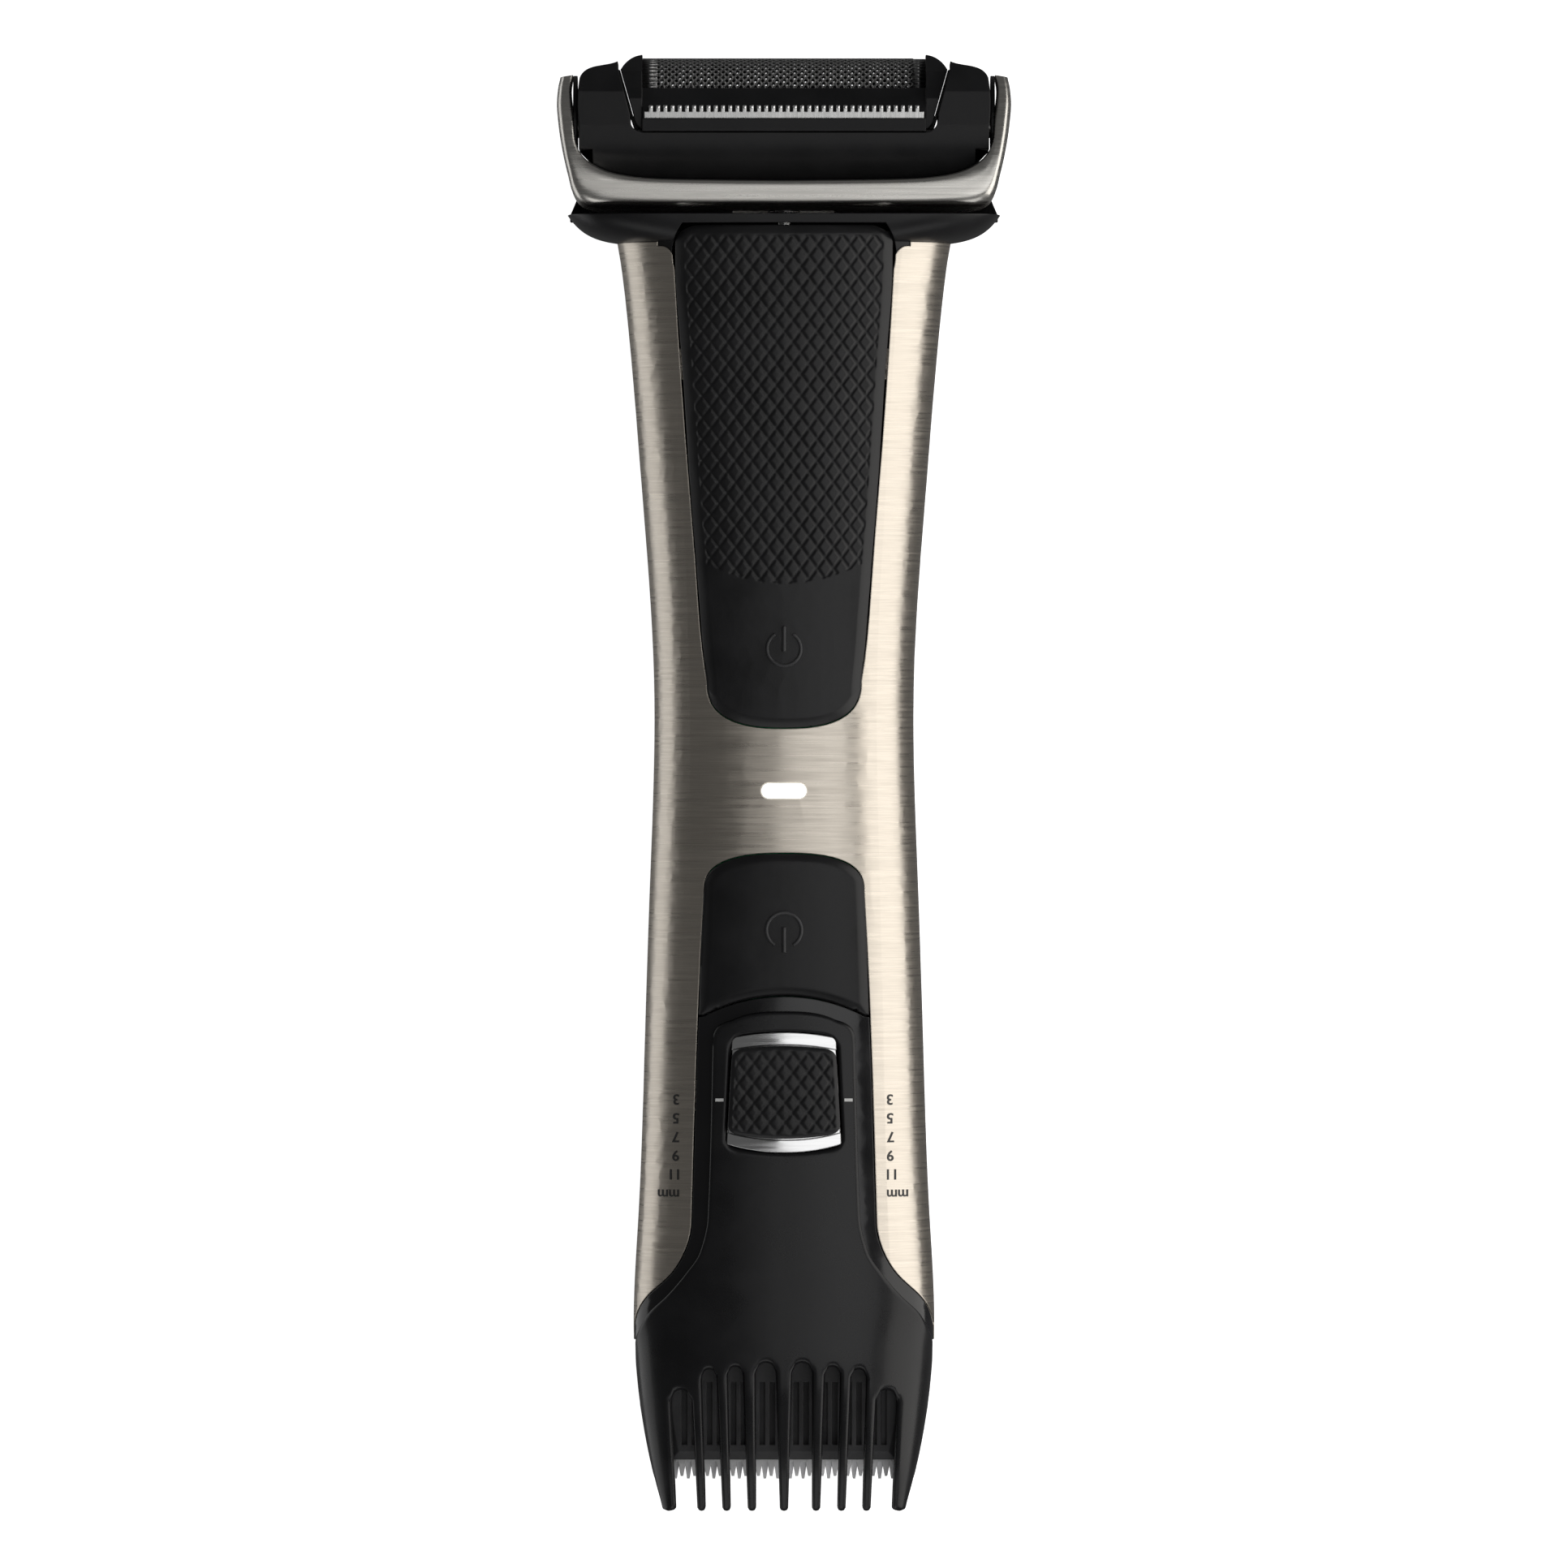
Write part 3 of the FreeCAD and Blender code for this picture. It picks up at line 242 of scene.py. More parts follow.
class Surface:
    """Height of a mesh's upper face above any place in X and Y."""

    def __init__(self, item):
        self.tree = BVHTree.FromPolygons([vertex.co for vertex in item.data.vertices],
                                         [face.vertices for face in item.data.polygons])

    def height(self, x, y):
        place = self.tree.ray_cast(Vector((x, y, 0.1)), Vector((0, 0, -1)))[0]
        return place.z if place is not None else None


def line_value(points, place):
    """Straight interpolation through (place, value) pairs in rising order."""
    if place <= points[0][0]:
        return points[0][1]
    for (low, first), (high, last) in zip(points, points[1:]):
        if place <= high:
            return first + (last - first) * (place - low) / (high - low)
    return points[-1][1]


def curve_value(points, place):
    """Smooth curve through (place, value) pairs in rising order, without overshoot."""
    if place <= points[0][0]:
        return points[0][1]
    if place >= points[-1][0]:
        return points[-1][1]
    slopes = [(b[1] - a[1]) / (b[0] - a[0]) for a, b in zip(points, points[1:])]
    number = next(index for index, point in enumerate(points[1:]) if place <= point[0])

    def tangent(index):
        if index == 0 or index == len(points) - 1:
            return slopes[min(index, len(slopes) - 1)]
        before, after = slopes[index - 1], slopes[index]
        return 0.0 if before * after <= 0 else 2.0 * before * after / (before + after)

    (low, first), (high, last) = points[number], points[number + 1]
    span = high - low
    t = (place - low) / span
    return (first * (1 + 2 * t) * (1 - t) ** 2 + tangent(number) * span * t * (1 - t) ** 2
            + last * t * t * (3 - 2 * t) + tangent(number + 1) * span * t * t * (t - 1))


def rounded_offset(share, depth, power=2.6):
    """How far a rounded end falls back at a share of its half width, 0 in the middle and 1 at the side."""
    return depth * (1.0 - max(0.0, 1.0 - abs(share) ** power) ** (1.0 / power))


def relief_plate(name, cad_name, body, material, half_width, low_edge, high_edge, step,
                 bevel, drop, relief=None, sink=0.0, skirt=1.0 * MM):
    """Plate that follows a CAD plate's crown, with a bevelled rim and a relief cut into its face.

    half_width(y) is the plate's half width; low_edge(share) and high_edge(share) are where a line
    at that share of the half width starts and ends. bevel(share) is the rim's width.
    """
    surface = Surface(nodes[cad_name])
    middle_y = (low_edge(0.0) + high_edge(0.0)) / 2.0
    columns = 2 * int(half_width(middle_y) / step) + 1
    rows = int((high_edge(0.0) - low_edge(0.0)) / step) + 1
    vertices, edge_rows = [], []
    for row in range(rows):
        along = row / (rows - 1.0)
        for column in range(columns):
            turn = 2.0 * column / (columns - 1.0) - 1.0
            share = math.copysign(1.0 - (1.0 - abs(turn)) ** 1.25, turn)
            low, high = low_edge(share), high_edge(share)
            y = low + (high - low) * along
            x = share * half_width(y)
            nudge = 1e-3
            slope_low = (low_edge(share) - low_edge(share - nudge)) / (nudge * half_width(y))
            slope_high = (high_edge(share) - high_edge(share - nudge)) / (nudge * half_width(y))
            inside = min((1.0 - abs(share)) * half_width(y),
                         (y - low) / math.hypot(1.0, slope_low), (high - y) / math.hypot(1.0, slope_high))
            z = None
            for shrink in (1.0, 0.995, 0.98, 0.96, 0.93):
                z = surface.height(x * shrink, middle_y + (y - middle_y) * (1.0 - (1.0 - shrink) * 0.4))
                if z is not None:
                    break
            width = bevel(share)
            fall = drop * max(0.0, 1.0 - inside / width) ** 1.4
            cut = relief(x, y, inside) if relief else 0.0
            vertices.append((x, y, z - fall - cut - sink))
    faces = []
    for row in range(rows - 1):
        for column in range(columns - 1):
            first = row * columns + column
            faces.append((first, first + 1, first + columns + 1, first + columns))
    rim = (list(range(columns))
           + [row * columns + columns - 1 for row in range(1, rows)]
           + [(rows - 1) * columns + column for column in range(columns - 2, -1, -1)]
           + [row * columns for row in range(rows - 2, 0, -1)])
    start = len(vertices)
    for index in rim:
        x, y, z = vertices[index]
        vertices.append((x, y, z - skirt))
    for number, index in enumerate(rim):
        after = (number + 1) % len(rim)
        faces.append((rim[after], index, start + number, start + after))
    return piece(name, vertices, faces, material, body)


# ---------------------------------------------------------------- the three textured plates

LOZENGE = (2.4 * MM, 3.17 * MM)
PAD_LOZENGE = (2.27 * MM, 2.93 * MM)


def lozenges(x, y, pitch, groove=0.36 * MM, depth=0.26 * MM):
    """Depth of the V grooves between flat lozenges."""
    steep = math.hypot(1.0 / pitch[0], 1.0 / pitch[1])
    nearest = 1.0
    for line in (x / pitch[0] + y / pitch[1], x / pitch[0] - y / pitch[1]):
        part = line - math.floor(line)
        nearest = min(nearest, part, 1.0 - part)
    return depth * max(0.0, 1.0 - nearest / steep / groove)


def shaver_button():
    low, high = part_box("shaver_button")
    widths = [(low.y, 11.2 * MM), (14 * MM, 11.35 * MM), (20 * MM, 11.9 * MM), (32 * MM, 12.85 * MM),
              (44 * MM, 13.8 * MM), (60 * MM, 14.85 * MM), (75.7 * MM, 15.95 * MM), (79.6 * MM, 16.0 * MM),
              (high.y, 14.6 * MM)]

    def texture(x, y, inside):
        border = 29.6 * MM + 2.8 * MM * (x / (11.3 * MM)) ** 2
        if y < border or inside < 1.5 * MM:
            return 0.0
        return lozenges(x, y, LOZENGE)

    plate = relief_plate("textured_shaver_button", "shaver_button", "shaver_button", GRIP_BLACK,
                         lambda y: curve_value(widths, y),
                         lambda share: low.y + rounded_offset(share, 7.0 * MM),
                         lambda share: high.y - rounded_offset(max(0.0, abs(share) - 0.8) * 5.0, 1.6 * MM),
                         0.16 * MM, lambda share: 1.45 * MM, 0.75 * MM, texture)
    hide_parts("shaver_button")
    return plate


def trimmer_button():
    low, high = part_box("trimmer_button")
    widths = [(low.y, 12.5 * MM), (-22.0 * MM, 12.1 * MM), (-16.0 * MM, 11.85 * MM), (high.y, 11.6 * MM)]
    plate = relief_plate("bevelled_trimmer_button", "trimmer_button", "trimmer_button",
                         BLACK, lambda y: curve_value(widths, y),
                         lambda share: -31.1 * MM - 2.9 * MM * min(1.0, abs(share) * 1.05) ** 2,
                         lambda share: high.y - rounded_offset(share, 5.5 * MM),
                         0.3 * MM, lambda share: 1.3 * MM, 0.6 * MM)
    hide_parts("trimmer_button")
    return plate


def pad_corner(share):
    return rounded_offset(max(0.0, abs(share) - 0.78) / 0.22, 1.3 * MM)


def lock_pad():
    low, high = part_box("comb_lock_pad")

    def texture(x, y, inside):
        return lozenges(x, y, PAD_LOZENGE) if inside > 0.7 * MM else 0.0

    plate = relief_plate("textured_lock_pad", "comb_lock_pad", "comb_lock", GRIP_BLACK,
                         lambda y: 7.6 * MM + 0.8 * MM * (high.y - y) / (high.y - low.y),
                         lambda share: low.y + 0.9 * MM * share * share + pad_corner(share),
                         lambda share: high.y - 0.6 * MM * share * share - pad_corner(share),
                         0.2 * MM, lambda share: 0.7 * MM, 0.35 * MM, texture)
    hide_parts("comb_lock_pad")


# ---------------------------------------------------------------- length comb

# each slot: the X of its two sides at its top and at the tips, and the Y of its top, in millimetres
COMB_SLOTS = (((1.2, 4.15), (0.62, 4.12), -85.3), ((6.1, 8.3), (5.36, 7.88), -85.9),
              ((10.0, 12.2), (9.12, 11.62), -86.3), ((13.7, 16.9), (12.86, 16.1), -89.4))
COMB_OUTLINE = ((-107.6, 17.9), (-106.2, 18.25), (-100.9, 19.6), (-94.8, 20.8), (-88.7, 21.65), (-82.0, 22.1),
                (-80.4, 21.55), (-78.2, 20.3), (-75.3, 17.3), (-72.4, 14.8), (-69.0, 12.5), (-64.0, 11.35),
                (-38.0, 10.6), (-33.0, 10.5))
COMB_FRONT = ((-107.6, 18.6), (-100.9, 22.4), (-94.8, 24.9), (-88.7, 26.65), (-82.0, 27.65), (-60.0, 29.15),
              (-40.0, 30.0), (14.0, 31.2))
COMB_BACK = ((-107.6, 10.4), (-100.9, 7.2), (-94.8, 5.0), (-88.7, 3.6), (-82.0, 3.0))
COMB_SECTION = ((-107.6, 17.9), (-100.9, 19.6), (-94.8, 20.8), (-88.7, 21.65), (-82.5, 22.3), (-76.0, 23.5),
                (-60.0, 22.9), (-40.0, 22.2), (-30.0, 21.9))
COMB_TIP, COMB_HEAD_TOP, STEM_TOP = -107.6, -82.1, -33.5
COMB_ROUND, COMB_WALL = 0.62, 1.0
# half width of the opening for the lock pad, from its foot to its head
OPENING_FOOT, OPENING_HEAD = -54.2, -36.6
OPENING = ((OPENING_FOOT, 8.55), (-53.0, 8.5), (-37.4, 7.7), (OPENING_HEAD, 7.6))


def comb_height(x, y, way):
    """Height of the comb's front (way +1) or back (way -1) in millimetres."""
    front, back = curve_value(COMB_FRONT, y), curve_value(COMB_BACK, y)
    middle = (front + back) / 2.0
    reach = min(1.0, abs(x) / curve_value(COMB_SECTION, y))
    return middle + way * (front - back) / 2.0 * (1.0 - reach ** 2.7) ** (1.0 / 2.7)


def comb_edges(y):
    """X of the tooth edges from the middle outward, in millimetres, ending at the outline."""
    outline = curve_value(COMB_OUTLINE, y)
    edges = []
    for tops, tips, top_y in COMB_SLOTS:
        start = top_y - (tops[1] - tops[0]) / 2.0
        share = max(0.0, min(1.0, (start - y) / (start - COMB_TIP)))
        edges += [top + (tip - top) * share for top, tip in zip(tops, tips)]
    if y > -84.0:
        squeeze = outline / curve_value(COMB_OUTLINE, -84.0)
        nearness = max(0.0, min(1.0, (y + 66.0) / 8.0))
        hole = line_value(OPENING, y) / edges[-1]
        squeeze = squeeze + (hole - squeeze) * nearness * nearness * (3 - 2 * nearness)
        edges = [edge * squeeze for edge in edges]
    return edges + [outline]


def comb_breaks(band, within, x):
    """Y of the row breaks of one column: tip, slot top, opening's foot, opening's head and end."""
    tops = [top_y - (sides[1] - sides[0]) / 2.0 for sides, tips, top_y in COMB_SLOTS]
    slot = (band - 1) // 2
    if band % 2:
        radius = (COMB_SLOTS[slot][0][1] - COMB_SLOTS[slot][0][0]) / 2.0
        arc = tops[slot] + radius * math.sqrt(max(0.0, 1.0 - (2.0 * within - 1.0) ** 2))
        tip = COMB_TIP
    else:
        before, after = tops[max(0, slot)], tops[min(len(tops) - 1, slot + 1)]
        arc = before + (after - before) * within
        middle_tooth = 2.0 * within - 1.0 if band else within
        tip = COMB_TIP + 0.5 * (1.0 - math.sqrt(max(0.0, 1.0 - middle_tooth ** 2)))
    bow = min(1.0, abs(x) / 8.2)
    corner = max(0.0, bow - 0.72) / 0.28
    foot = OPENING_FOOT + 0.9 * bow ** 2 + 1.5 * rounded_offset(corner, 1.0)
    head = OPENING_HEAD - 0.7 * bow ** 2 - 1.9 * rounded_offset(corner, 1.0)
    end = STEM_TOP - rounded_offset(min(1.0, abs(x) / 10.5), 5.0)
    return [tip, arc, foot, head, end]


def comb_sheet(way):
    """Grid of the comb's front or back, with the open cells of the slots and the pad's opening left out."""
    columns = []
    for band in range(9):
        count = 16 if band == 8 else 7
        for step in range(count):
            columns.append((band, step / (count - 1.0)))
    columns = [(band, within, side) for side in (-1, 1) for band, within in columns]
    columns = ([entry for entry in reversed(columns) if entry[2] < 0]
               + [entry for entry in columns if entry[2] > 0 and (entry[0], entry[1]) != (0, 0.0)])
    counts = (48, 64, 34, 14) if way > 0 else (48, 8)
    parts = [part for part, count in enumerate(counts) for step in range(count)]
    vertices, faces = [], []
    for band, within, side in columns:
        near_x = (comb_edges(-45.0)[band - 1] if band else 0.0, comb_edges(-45.0)[band])
        breaks = comb_breaks(band, within, near_x[0] + (near_x[1] - near_x[0]) * within)
        if way < 0:
            breaks = breaks[:2] + [COMB_HEAD_TOP]
        for part, count in enumerate(counts):
            for step in range(count + (1 if part == len(counts) - 1 else 0)):
                y = breaks[part] + (breaks[part + 1] - breaks[part]) * step / count
                edges = comb_edges(y)
                low, high = (edges[band - 1] if band else 0.0), edges[band]
                bend = 1.0 - (1.0 - within) ** 1.8 if band == 8 else within
                vertices.append((side * (low + (high - low) * bend), y))
    rows = sum(counts) + 1
    for column in range(len(columns) - 1):
        band = columns[column][0]
        if band != columns[column + 1][0]:
            continue
        for row in range(rows - 1):
            index = column * rows + row
            if (parts[row] == 0 and band % 2) or (parts[row] == 2 and band < 8):
                continue
            faces.append((index, index + rows, index + rows + 1, index + 1))
    return vertices, faces


def smooth_comb():
    """The whole comb as one smooth skin with rounded rims."""
    mesh = bmesh.new()
    for way in (1, -1):
        outline, faces = comb_sheet(way)
        made = [mesh.verts.new((x * MM, y * MM, comb_height(x, y, way) * MM)) for x, y in outline]
        for face in faces:
            corners = [made[index] for index in (face if way > 0 else reversed(face))]
            mesh.faces.new(corners)
    bmesh.ops.remove_doubles(mesh, verts=mesh.verts, dist=0.004 * MM)
    bmesh.ops.delete(mesh, geom=[vertex for vertex in mesh.verts if not vertex.link_faces], context="VERTS")
    rim = [edge for edge in mesh.edges if len(edge.link_faces) == 1]
    tree = KDTree(3 * len(rim))
    for number, edge in enumerate(rim):
        start, end = (vertex.co for vertex in edge.verts)
        for share in (0, 1, 2):
            tree.insert(start.lerp(end, share / 3.0), 3 * number + share)
    tree.balance()
    reach = COMB_ROUND * MM
    mesh.normal_update()
    sunk = []
    for vertex in mesh.verts:
        gap = tree.find(vertex.co)[2]
        if gap < reach:
            fall = 1.0 - math.sqrt(1.0 - (1.0 - gap / reach) ** 2)
            sunk.append((vertex, vertex.normal * reach * 0.8 * fall))
    for vertex, offset in sunk:
        vertex.co -= offset
    data = bpy.data.meshes.new("smooth_comb")
    mesh.to_mesh(data)
    mesh.free()
    data.materials.append(COMB_BLACK)
    data.shade_smooth()
    item = bpy.data.objects.new("smooth_comb", data)
    scene.collection.objects.link(item)
    thick = item.modifiers.new("thickness", "SOLIDIFY")
    thick.thickness = COMB_WALL * MM
    thick.offset = -1.0
    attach(item, "comb")
    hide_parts("length_comb")
    return item


# ---------------------------------------------------------------- yoke

# matching places on the yoke's outer and inner outline, right half, in millimetres
YOKE_PAIRS = (((0.0, 84.45), (0.0, 88.8)), ((10.4, 84.47), (10.4, 88.9)), ((19.1, 84.5), (19.1, 89.1)),
              ((24.0, 84.55), (23.7, 89.6)), ((27.0, 84.65), (26.1, 90.2)), ((28.8, 85.0), (27.8, 91.0)),
              ((30.3, 85.8), (29.0, 91.8)), ((31.2, 87.3), (29.9, 92.8)), ((31.8, 89.6), (30.5, 93.9)),
              ((32.5, 92.6), (30.85, 95.4)), ((33.2, 96.8), (30.95, 97.7)), ((33.5, 100.2), (31.25, 100.4)),
              ((33.35, 102.4), (31.4, 102.4)), ((33.0, 104.2), (31.1, 104.5)))
YOKE_FRONT = ((84.0, 30.95), (88.0, 30.9), (92.0, 30.2), (100.0, 26.8), (105.0, 23.9))
YOKE_BACK = ((84.0, 5.3), (88.0, 5.4), (92.0, 6.0), (100.0, 8.6), (105.0, 11.2))


def yoke_section(outer, inner):
    """Closed loop of places across the yoke: a flat band that rolls over to the outer side."""
    width = math.hypot(outer[0] - inner[0], outer[1] - inner[1])
    roll = 0.5
    loop = []
    for way, heights in ((1, YOKE_FRONT), (-1, YOKE_BACK)):
        side = []
        for share, drop in ((0.0, 0.5), (0.06, 0.12), (0.14, 0.0), (0.3, 0.0), (roll - 0.06, 0.02)):
            side.append((share, drop))
        for step in range(1, 11):
            turn = math.pi / 2.0 * step / 10.0
            side.append((roll + (1.0 - roll) * math.sin(turn), 3.4 * (1.0 - math.cos(turn)) ** 1.35))
        places = []
        for share, drop in side:
            x = inner[0] + (outer[0] - inner[0]) * share
            y = inner[1] + (outer[1] - inner[1]) * share
            places.append((x, y, curve_value(heights, y) - way * drop))
        loop += places if way > 0 else places[::-1]
    return loop


def yoke_band():
    """Smooth U-shaped yoke."""
    stations = []
    outer_points = [pair[0] for pair in YOKE_PAIRS]
    inner_points = [pair[1] for pair in YOKE_PAIRS]
    fine = 6

    def between(points, place):
        scale = [(float(number), point[0]) for number, point in enumerate(points)]
        rise = [(float(number), point[1]) for number, point in enumerate(points)]
        return curve_value(scale, place), curve_value(rise, place)

    for step in range((len(YOKE_PAIRS) - 1) * fine + 1):
        place = step / float(fine)
        stations.append(yoke_section(between(outer_points, place), between(inner_points, place)))
    left = [[(-x, y, z) for x, y, z in loop] for loop in stations[:0:-1]]
    loops = left + stations
    size = len(loops[0])
    vertices = [tuple(value * MM for value in place) for loop in loops for place in loop]
    faces = []
    for number in range(len(loops) - 1):
        for place in range(size):
            after = (place + 1) % size
            first, second = number * size, (number + 1) * size
            faces.append((first + place, first + after, second + after, second + place))
    faces.append(tuple(range(size)))
    faces.append(tuple(reversed(range((len(loops) - 1) * size, len(loops) * size))))
    band = piece("rolled_yoke", vertices, faces, YOKE_METAL, "yoke")
    bed = rod_mesh(11.4 * MM, 28.6 * MM)
    side_bed = rod_mesh(11.75 * MM, 30.6 * MM, 91.2 * MM)
    drive_passage = box_mesh((-7.6 * MM, 83.0 * MM, 9.5 * MM), (7.6 * MM, 88.0 * MM, 25.5 * MM))
    carve(band, bed, side_bed, drive_passage)
    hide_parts("head_yoke")


TILT_AXIS = (97.0 * MM, 17.5 * MM)


def box_mesh(low, high):
    corners = [(x, y, z) for x in (low[0], high[0]) for y in (low[1], high[1]) for z in (low[2], high[2])]
    return corners, [(0, 1, 3, 2), (4, 6, 7, 5), (0, 4, 5, 1), (2, 3, 7, 6), (0, 2, 6, 4), (1, 5, 7, 3)]


def rod_mesh(radius, reach, floor_y=0.0):
    """Closed rod round the tilt axis, as vertices and faces, flattened below a place along Y."""
    count = 96
    vertices = [(x, max(floor_y, TILT_AXIS[0] + radius * math.cos(2 * math.pi * (step + 0.5) / count)),
                 TILT_AXIS[1] + radius * math.sin(2 * math.pi * (step + 0.5) / count))
                for x in (-reach, reach) for step in range(count)]
    faces = [(step, (step + 1) % count, count + (step + 1) % count, count + step) for step in range(count)]
    return vertices, faces + [tuple(reversed(range(count))), tuple(range(count, 2 * count))]


def outward(mesh):
    work = bmesh.new()
    work.from_mesh(mesh)
    bmesh.ops.recalc_face_normals(work, faces=work.faces)
    work.to_mesh(mesh)
    work.free()


def carve(item, *shapes):
    """Cut closed shapes out of a piece, and keep the new edges sharp."""
    outward(item.data)
    tools = []
    for vertices, faces in shapes:
        mesh = bpy.data.meshes.new("tool")
        mesh.from_pydata(vertices, [], faces)
        outward(mesh)
        tool = bpy.data.objects.new("tool", mesh)
        scene.collection.objects.link(tool)
        carver = item.modifiers.new("carve", "BOOLEAN")
        carver.operation = "DIFFERENCE"
        carver.object = tool
        tools.append(tool)
    graph = bpy.context.evaluated_depsgraph_get()
    made = bpy.data.meshes.new_from_object(item.evaluated_get(graph))
    item.modifiers.clear()
    item.data = made
    made.shade_smooth()
    made.set_sharp_from_angle(angle=math.radians(40))
    for tool in tools:
        bpy.data.objects.remove(tool)


def disc(name, near, far, body):
    """Black disc round the tilt axis, between two places along X, each an X and the radius there."""
    count = 48
    vertices = [(x * MM, TILT_AXIS[0] + radius * MM * math.cos(2 * math.pi * step / count),
                 TILT_AXIS[1] + radius * MM * math.sin(2 * math.pi * step / count))
                for x, radius in (near, far) for step in range(count)]
    faces = [(step, (step + 1) % count, count + (step + 1) % count, count + step) for step in range(count)]
    faces += [tuple(reversed(range(count))), tuple(range(count, 2 * count))]
    made = piece(name, vertices, faces, BLACK, body, smooth=False)
    round_edges(made, 0.1 * MM)


def tilt_discs():
    """Black discs on the yoke's arms that fill the gap to the housing, painted shade standing in for the dark
    gap line there, and the tapered bosses of the housing inside them.
    """
    for name, side in (("left", -1), ("right", 1)):
        # Painted shade: a black disc in the see-through gap between the yoke's arm and the housing.
        disc("gap_shade_disc_" + name, (side * 30.46, 7.6), (side * 31.1, 7.6), "yoke")
        disc("tilt_boss_" + name, (side * 28.2, 5.7), (side * 30.1, 3.75), "head")


def collar_back():
    """Back wall of the neck's collar, which reaches up behind the corners of the yoke."""
    half_width, foot, height, half_thick = 31.7, 83.2, 3.7, 0.7
    top = ((0.0, 85.6), (26.0, 85.6), (28.6, 86.0), (30.3, 86.6), (31.3, 86.9), (31.6, 86.0),
           (half_width, 84.2))
    reach, rows = 24, 5
    columns = 2 * reach + 1
    vertices, faces = [], []
    for way in (1, -1):
        for number in range(-reach, reach + 1):
            x = half_width * (abs(number) / float(reach)) ** 0.8
            high = curve_value(top, x)
            for row in range(rows):
                y = foot + (high - foot) * row / (rows - 1.0)
                z = height + 0.055 * max(0.0, x - 24.0) ** 2 + way * half_thick
                vertices.append((math.copysign(x, number) * MM, y * MM, z * MM))
    half = columns * rows
    for column in range(columns - 1):
        for row in range(rows - 1):
            first = column * rows + row
            faces.append((first, first + rows, first + rows + 1, first + 1))
            faces.append((half + first + 1, half + first + rows + 1, half + first + rows, half + first))
    rim = ([column * rows for column in range(columns)]
           + [(columns - 1) * rows + row for row in range(1, rows)]
           + [column * rows + rows - 1 for column in range(columns - 2, -1, -1)]
           + list(range(rows - 2, 0, -1)))
    for number, index in enumerate(rim):
        after = rim[(number + 1) % len(rim)]
        faces.append((index, half + index, half + after, after))
    wall = piece("collar_back_wall", vertices, faces, BLACK, "handle", smooth=False)
    round_edges(wall, 0.25 * MM)


def pocket_shade_liners():
    """Thin black strips in the gap between the cartridge's ends and the housing's pocket: painted shade that
    stands in for the dark gap line there.
    """
    for name, side in (("left", -1), ("right", 1)):
        outline = [(22.28, 98.7), (24.16, 105.3), (24.56, 105.5), (22.76, 98.6), (21.96, 96.24),
                   (21.36, 96.64)]
        vertices = [(side * x * MM, y * MM, z * MM) for z in (14.0, 21.0) for x, y in outline]
        faces = [(0, 1, 2, 3), (0, 3, 4, 5), (9, 8, 7, 6), (11, 10, 9, 6)]
        faces += [(n, (n + 1) % 6, 6 + (n + 1) % 6, 6 + n) for n in range(6)]
        # Painted shade: a black strip set where the gap would otherwise show through.
        piece("pocket_shade_liner_" + name, vertices, faces, BLACK, "head", smooth=False)


# ---------------------------------------------------------------- marks on the front

def ribbon(name, points, radius, material, body):
    """Raised line: a round bead half sunk in the face it lies on."""
    curve = bpy.data.curves.new(name, "CURVE")
    curve.dimensions = "3D"
    curve.bevel_depth = radius
    curve.bevel_resolution = 2
    spline = curve.splines.new("POLY")
    spline.points.add(len(points) - 1)
    for point, place in zip(spline.points, points):
        point.co = (*place, 1.0)
    curve.use_fill_caps = True
    curve.materials.append(material)
    item = bpy.data.objects.new(name, curve)
    scene.collection.objects.link(item)
    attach(item, body)
    return item


def power_icon(name, surface, centre_y, radius, upright, body):
    """Standby symbol: a ring with a gap and a bar standing in the gap."""
    bead = 0.27 * MM

    def on_face(x, y):
        return (x, y, surface.height(x, y) + 0.02 * MM)

    ring = []
    for step in range(41):
        turn = math.radians(90 + 32 + (360 - 64) * step / 40.0)
        across, along = (radius - bead) * math.cos(turn), (radius - bead) * math.sin(turn)
        ring.append(on_face(across, centre_y + upright * along))
    ribbon(name + "_ring", ring, bead, ICON, body)
    bar = [on_face(0.0, centre_y + upright * place * MM) for place in (-0.4, 0.9, 2.2, 3.3)]
    ribbon(name + "_bar", bar, bead * 1.25, ICON, body)


DIGIT_SIZE = 2.15 * MM
SETTINGS = ("3", "5", "7", "9", "11", "mm")
SETTING_PITCH, FIRST_SETTING_Y = 2.76 * MM, -46.5 * MM


def scale_marks():
    """Length settings, read from the comb's end, printed on the metal on both sides of the comb."""
    surface = Surface(nodes["front_shell"])
    for side, edge in (("left", -15.5 * MM), ("right", 15.2 * MM)):
        for number, words in enumerate(SETTINGS):
            label = "scale_%s_%d" % (side, number)
            flat_text(label, words, edge, FIRST_SETTING_Y - SETTING_PITCH * number, side, surface)


def flat_text(name, words, edge, centre_y, side, surface):
    """Printed characters, turned half round, laid on the shell."""
    curve = bpy.data.curves.new(name + "_curve", "FONT")
    curve.body = words
    curve.size = DIGIT_SIZE
    curve.offset = 0.035 * MM
    curve.resolution_u = 3
    source = bpy.data.objects.new(name + "_source", curve)
    scene.collection.objects.link(source)
    graph = bpy.context.evaluated_depsgraph_get()
    mesh = bpy.data.meshes.new_from_object(source.evaluated_get(graph))
    bpy.data.objects.remove(source)
    across = [vertex.co.x for vertex in mesh.vertices]
    along = [vertex.co.y for vertex in mesh.vertices]
    left, right = min(across), max(across)
    middle = (min(along) + max(along)) / 2.0
    start = edge + (right if side == "right" else left)
    for vertex in mesh.vertices:
        x = start - vertex.co.x
        y = centre_y - (vertex.co.y - middle)
        z = surface.height(x, y)
        vertex.co = (x, y, (z if z else 0.02) + 0.07 * MM)
    mesh.materials.clear()
    mesh.materials.append(DARK_PRINT)
    item = bpy.data.objects.new(name, mesh)
    scene.collection.objects.link(item)
    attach(item, "handle")


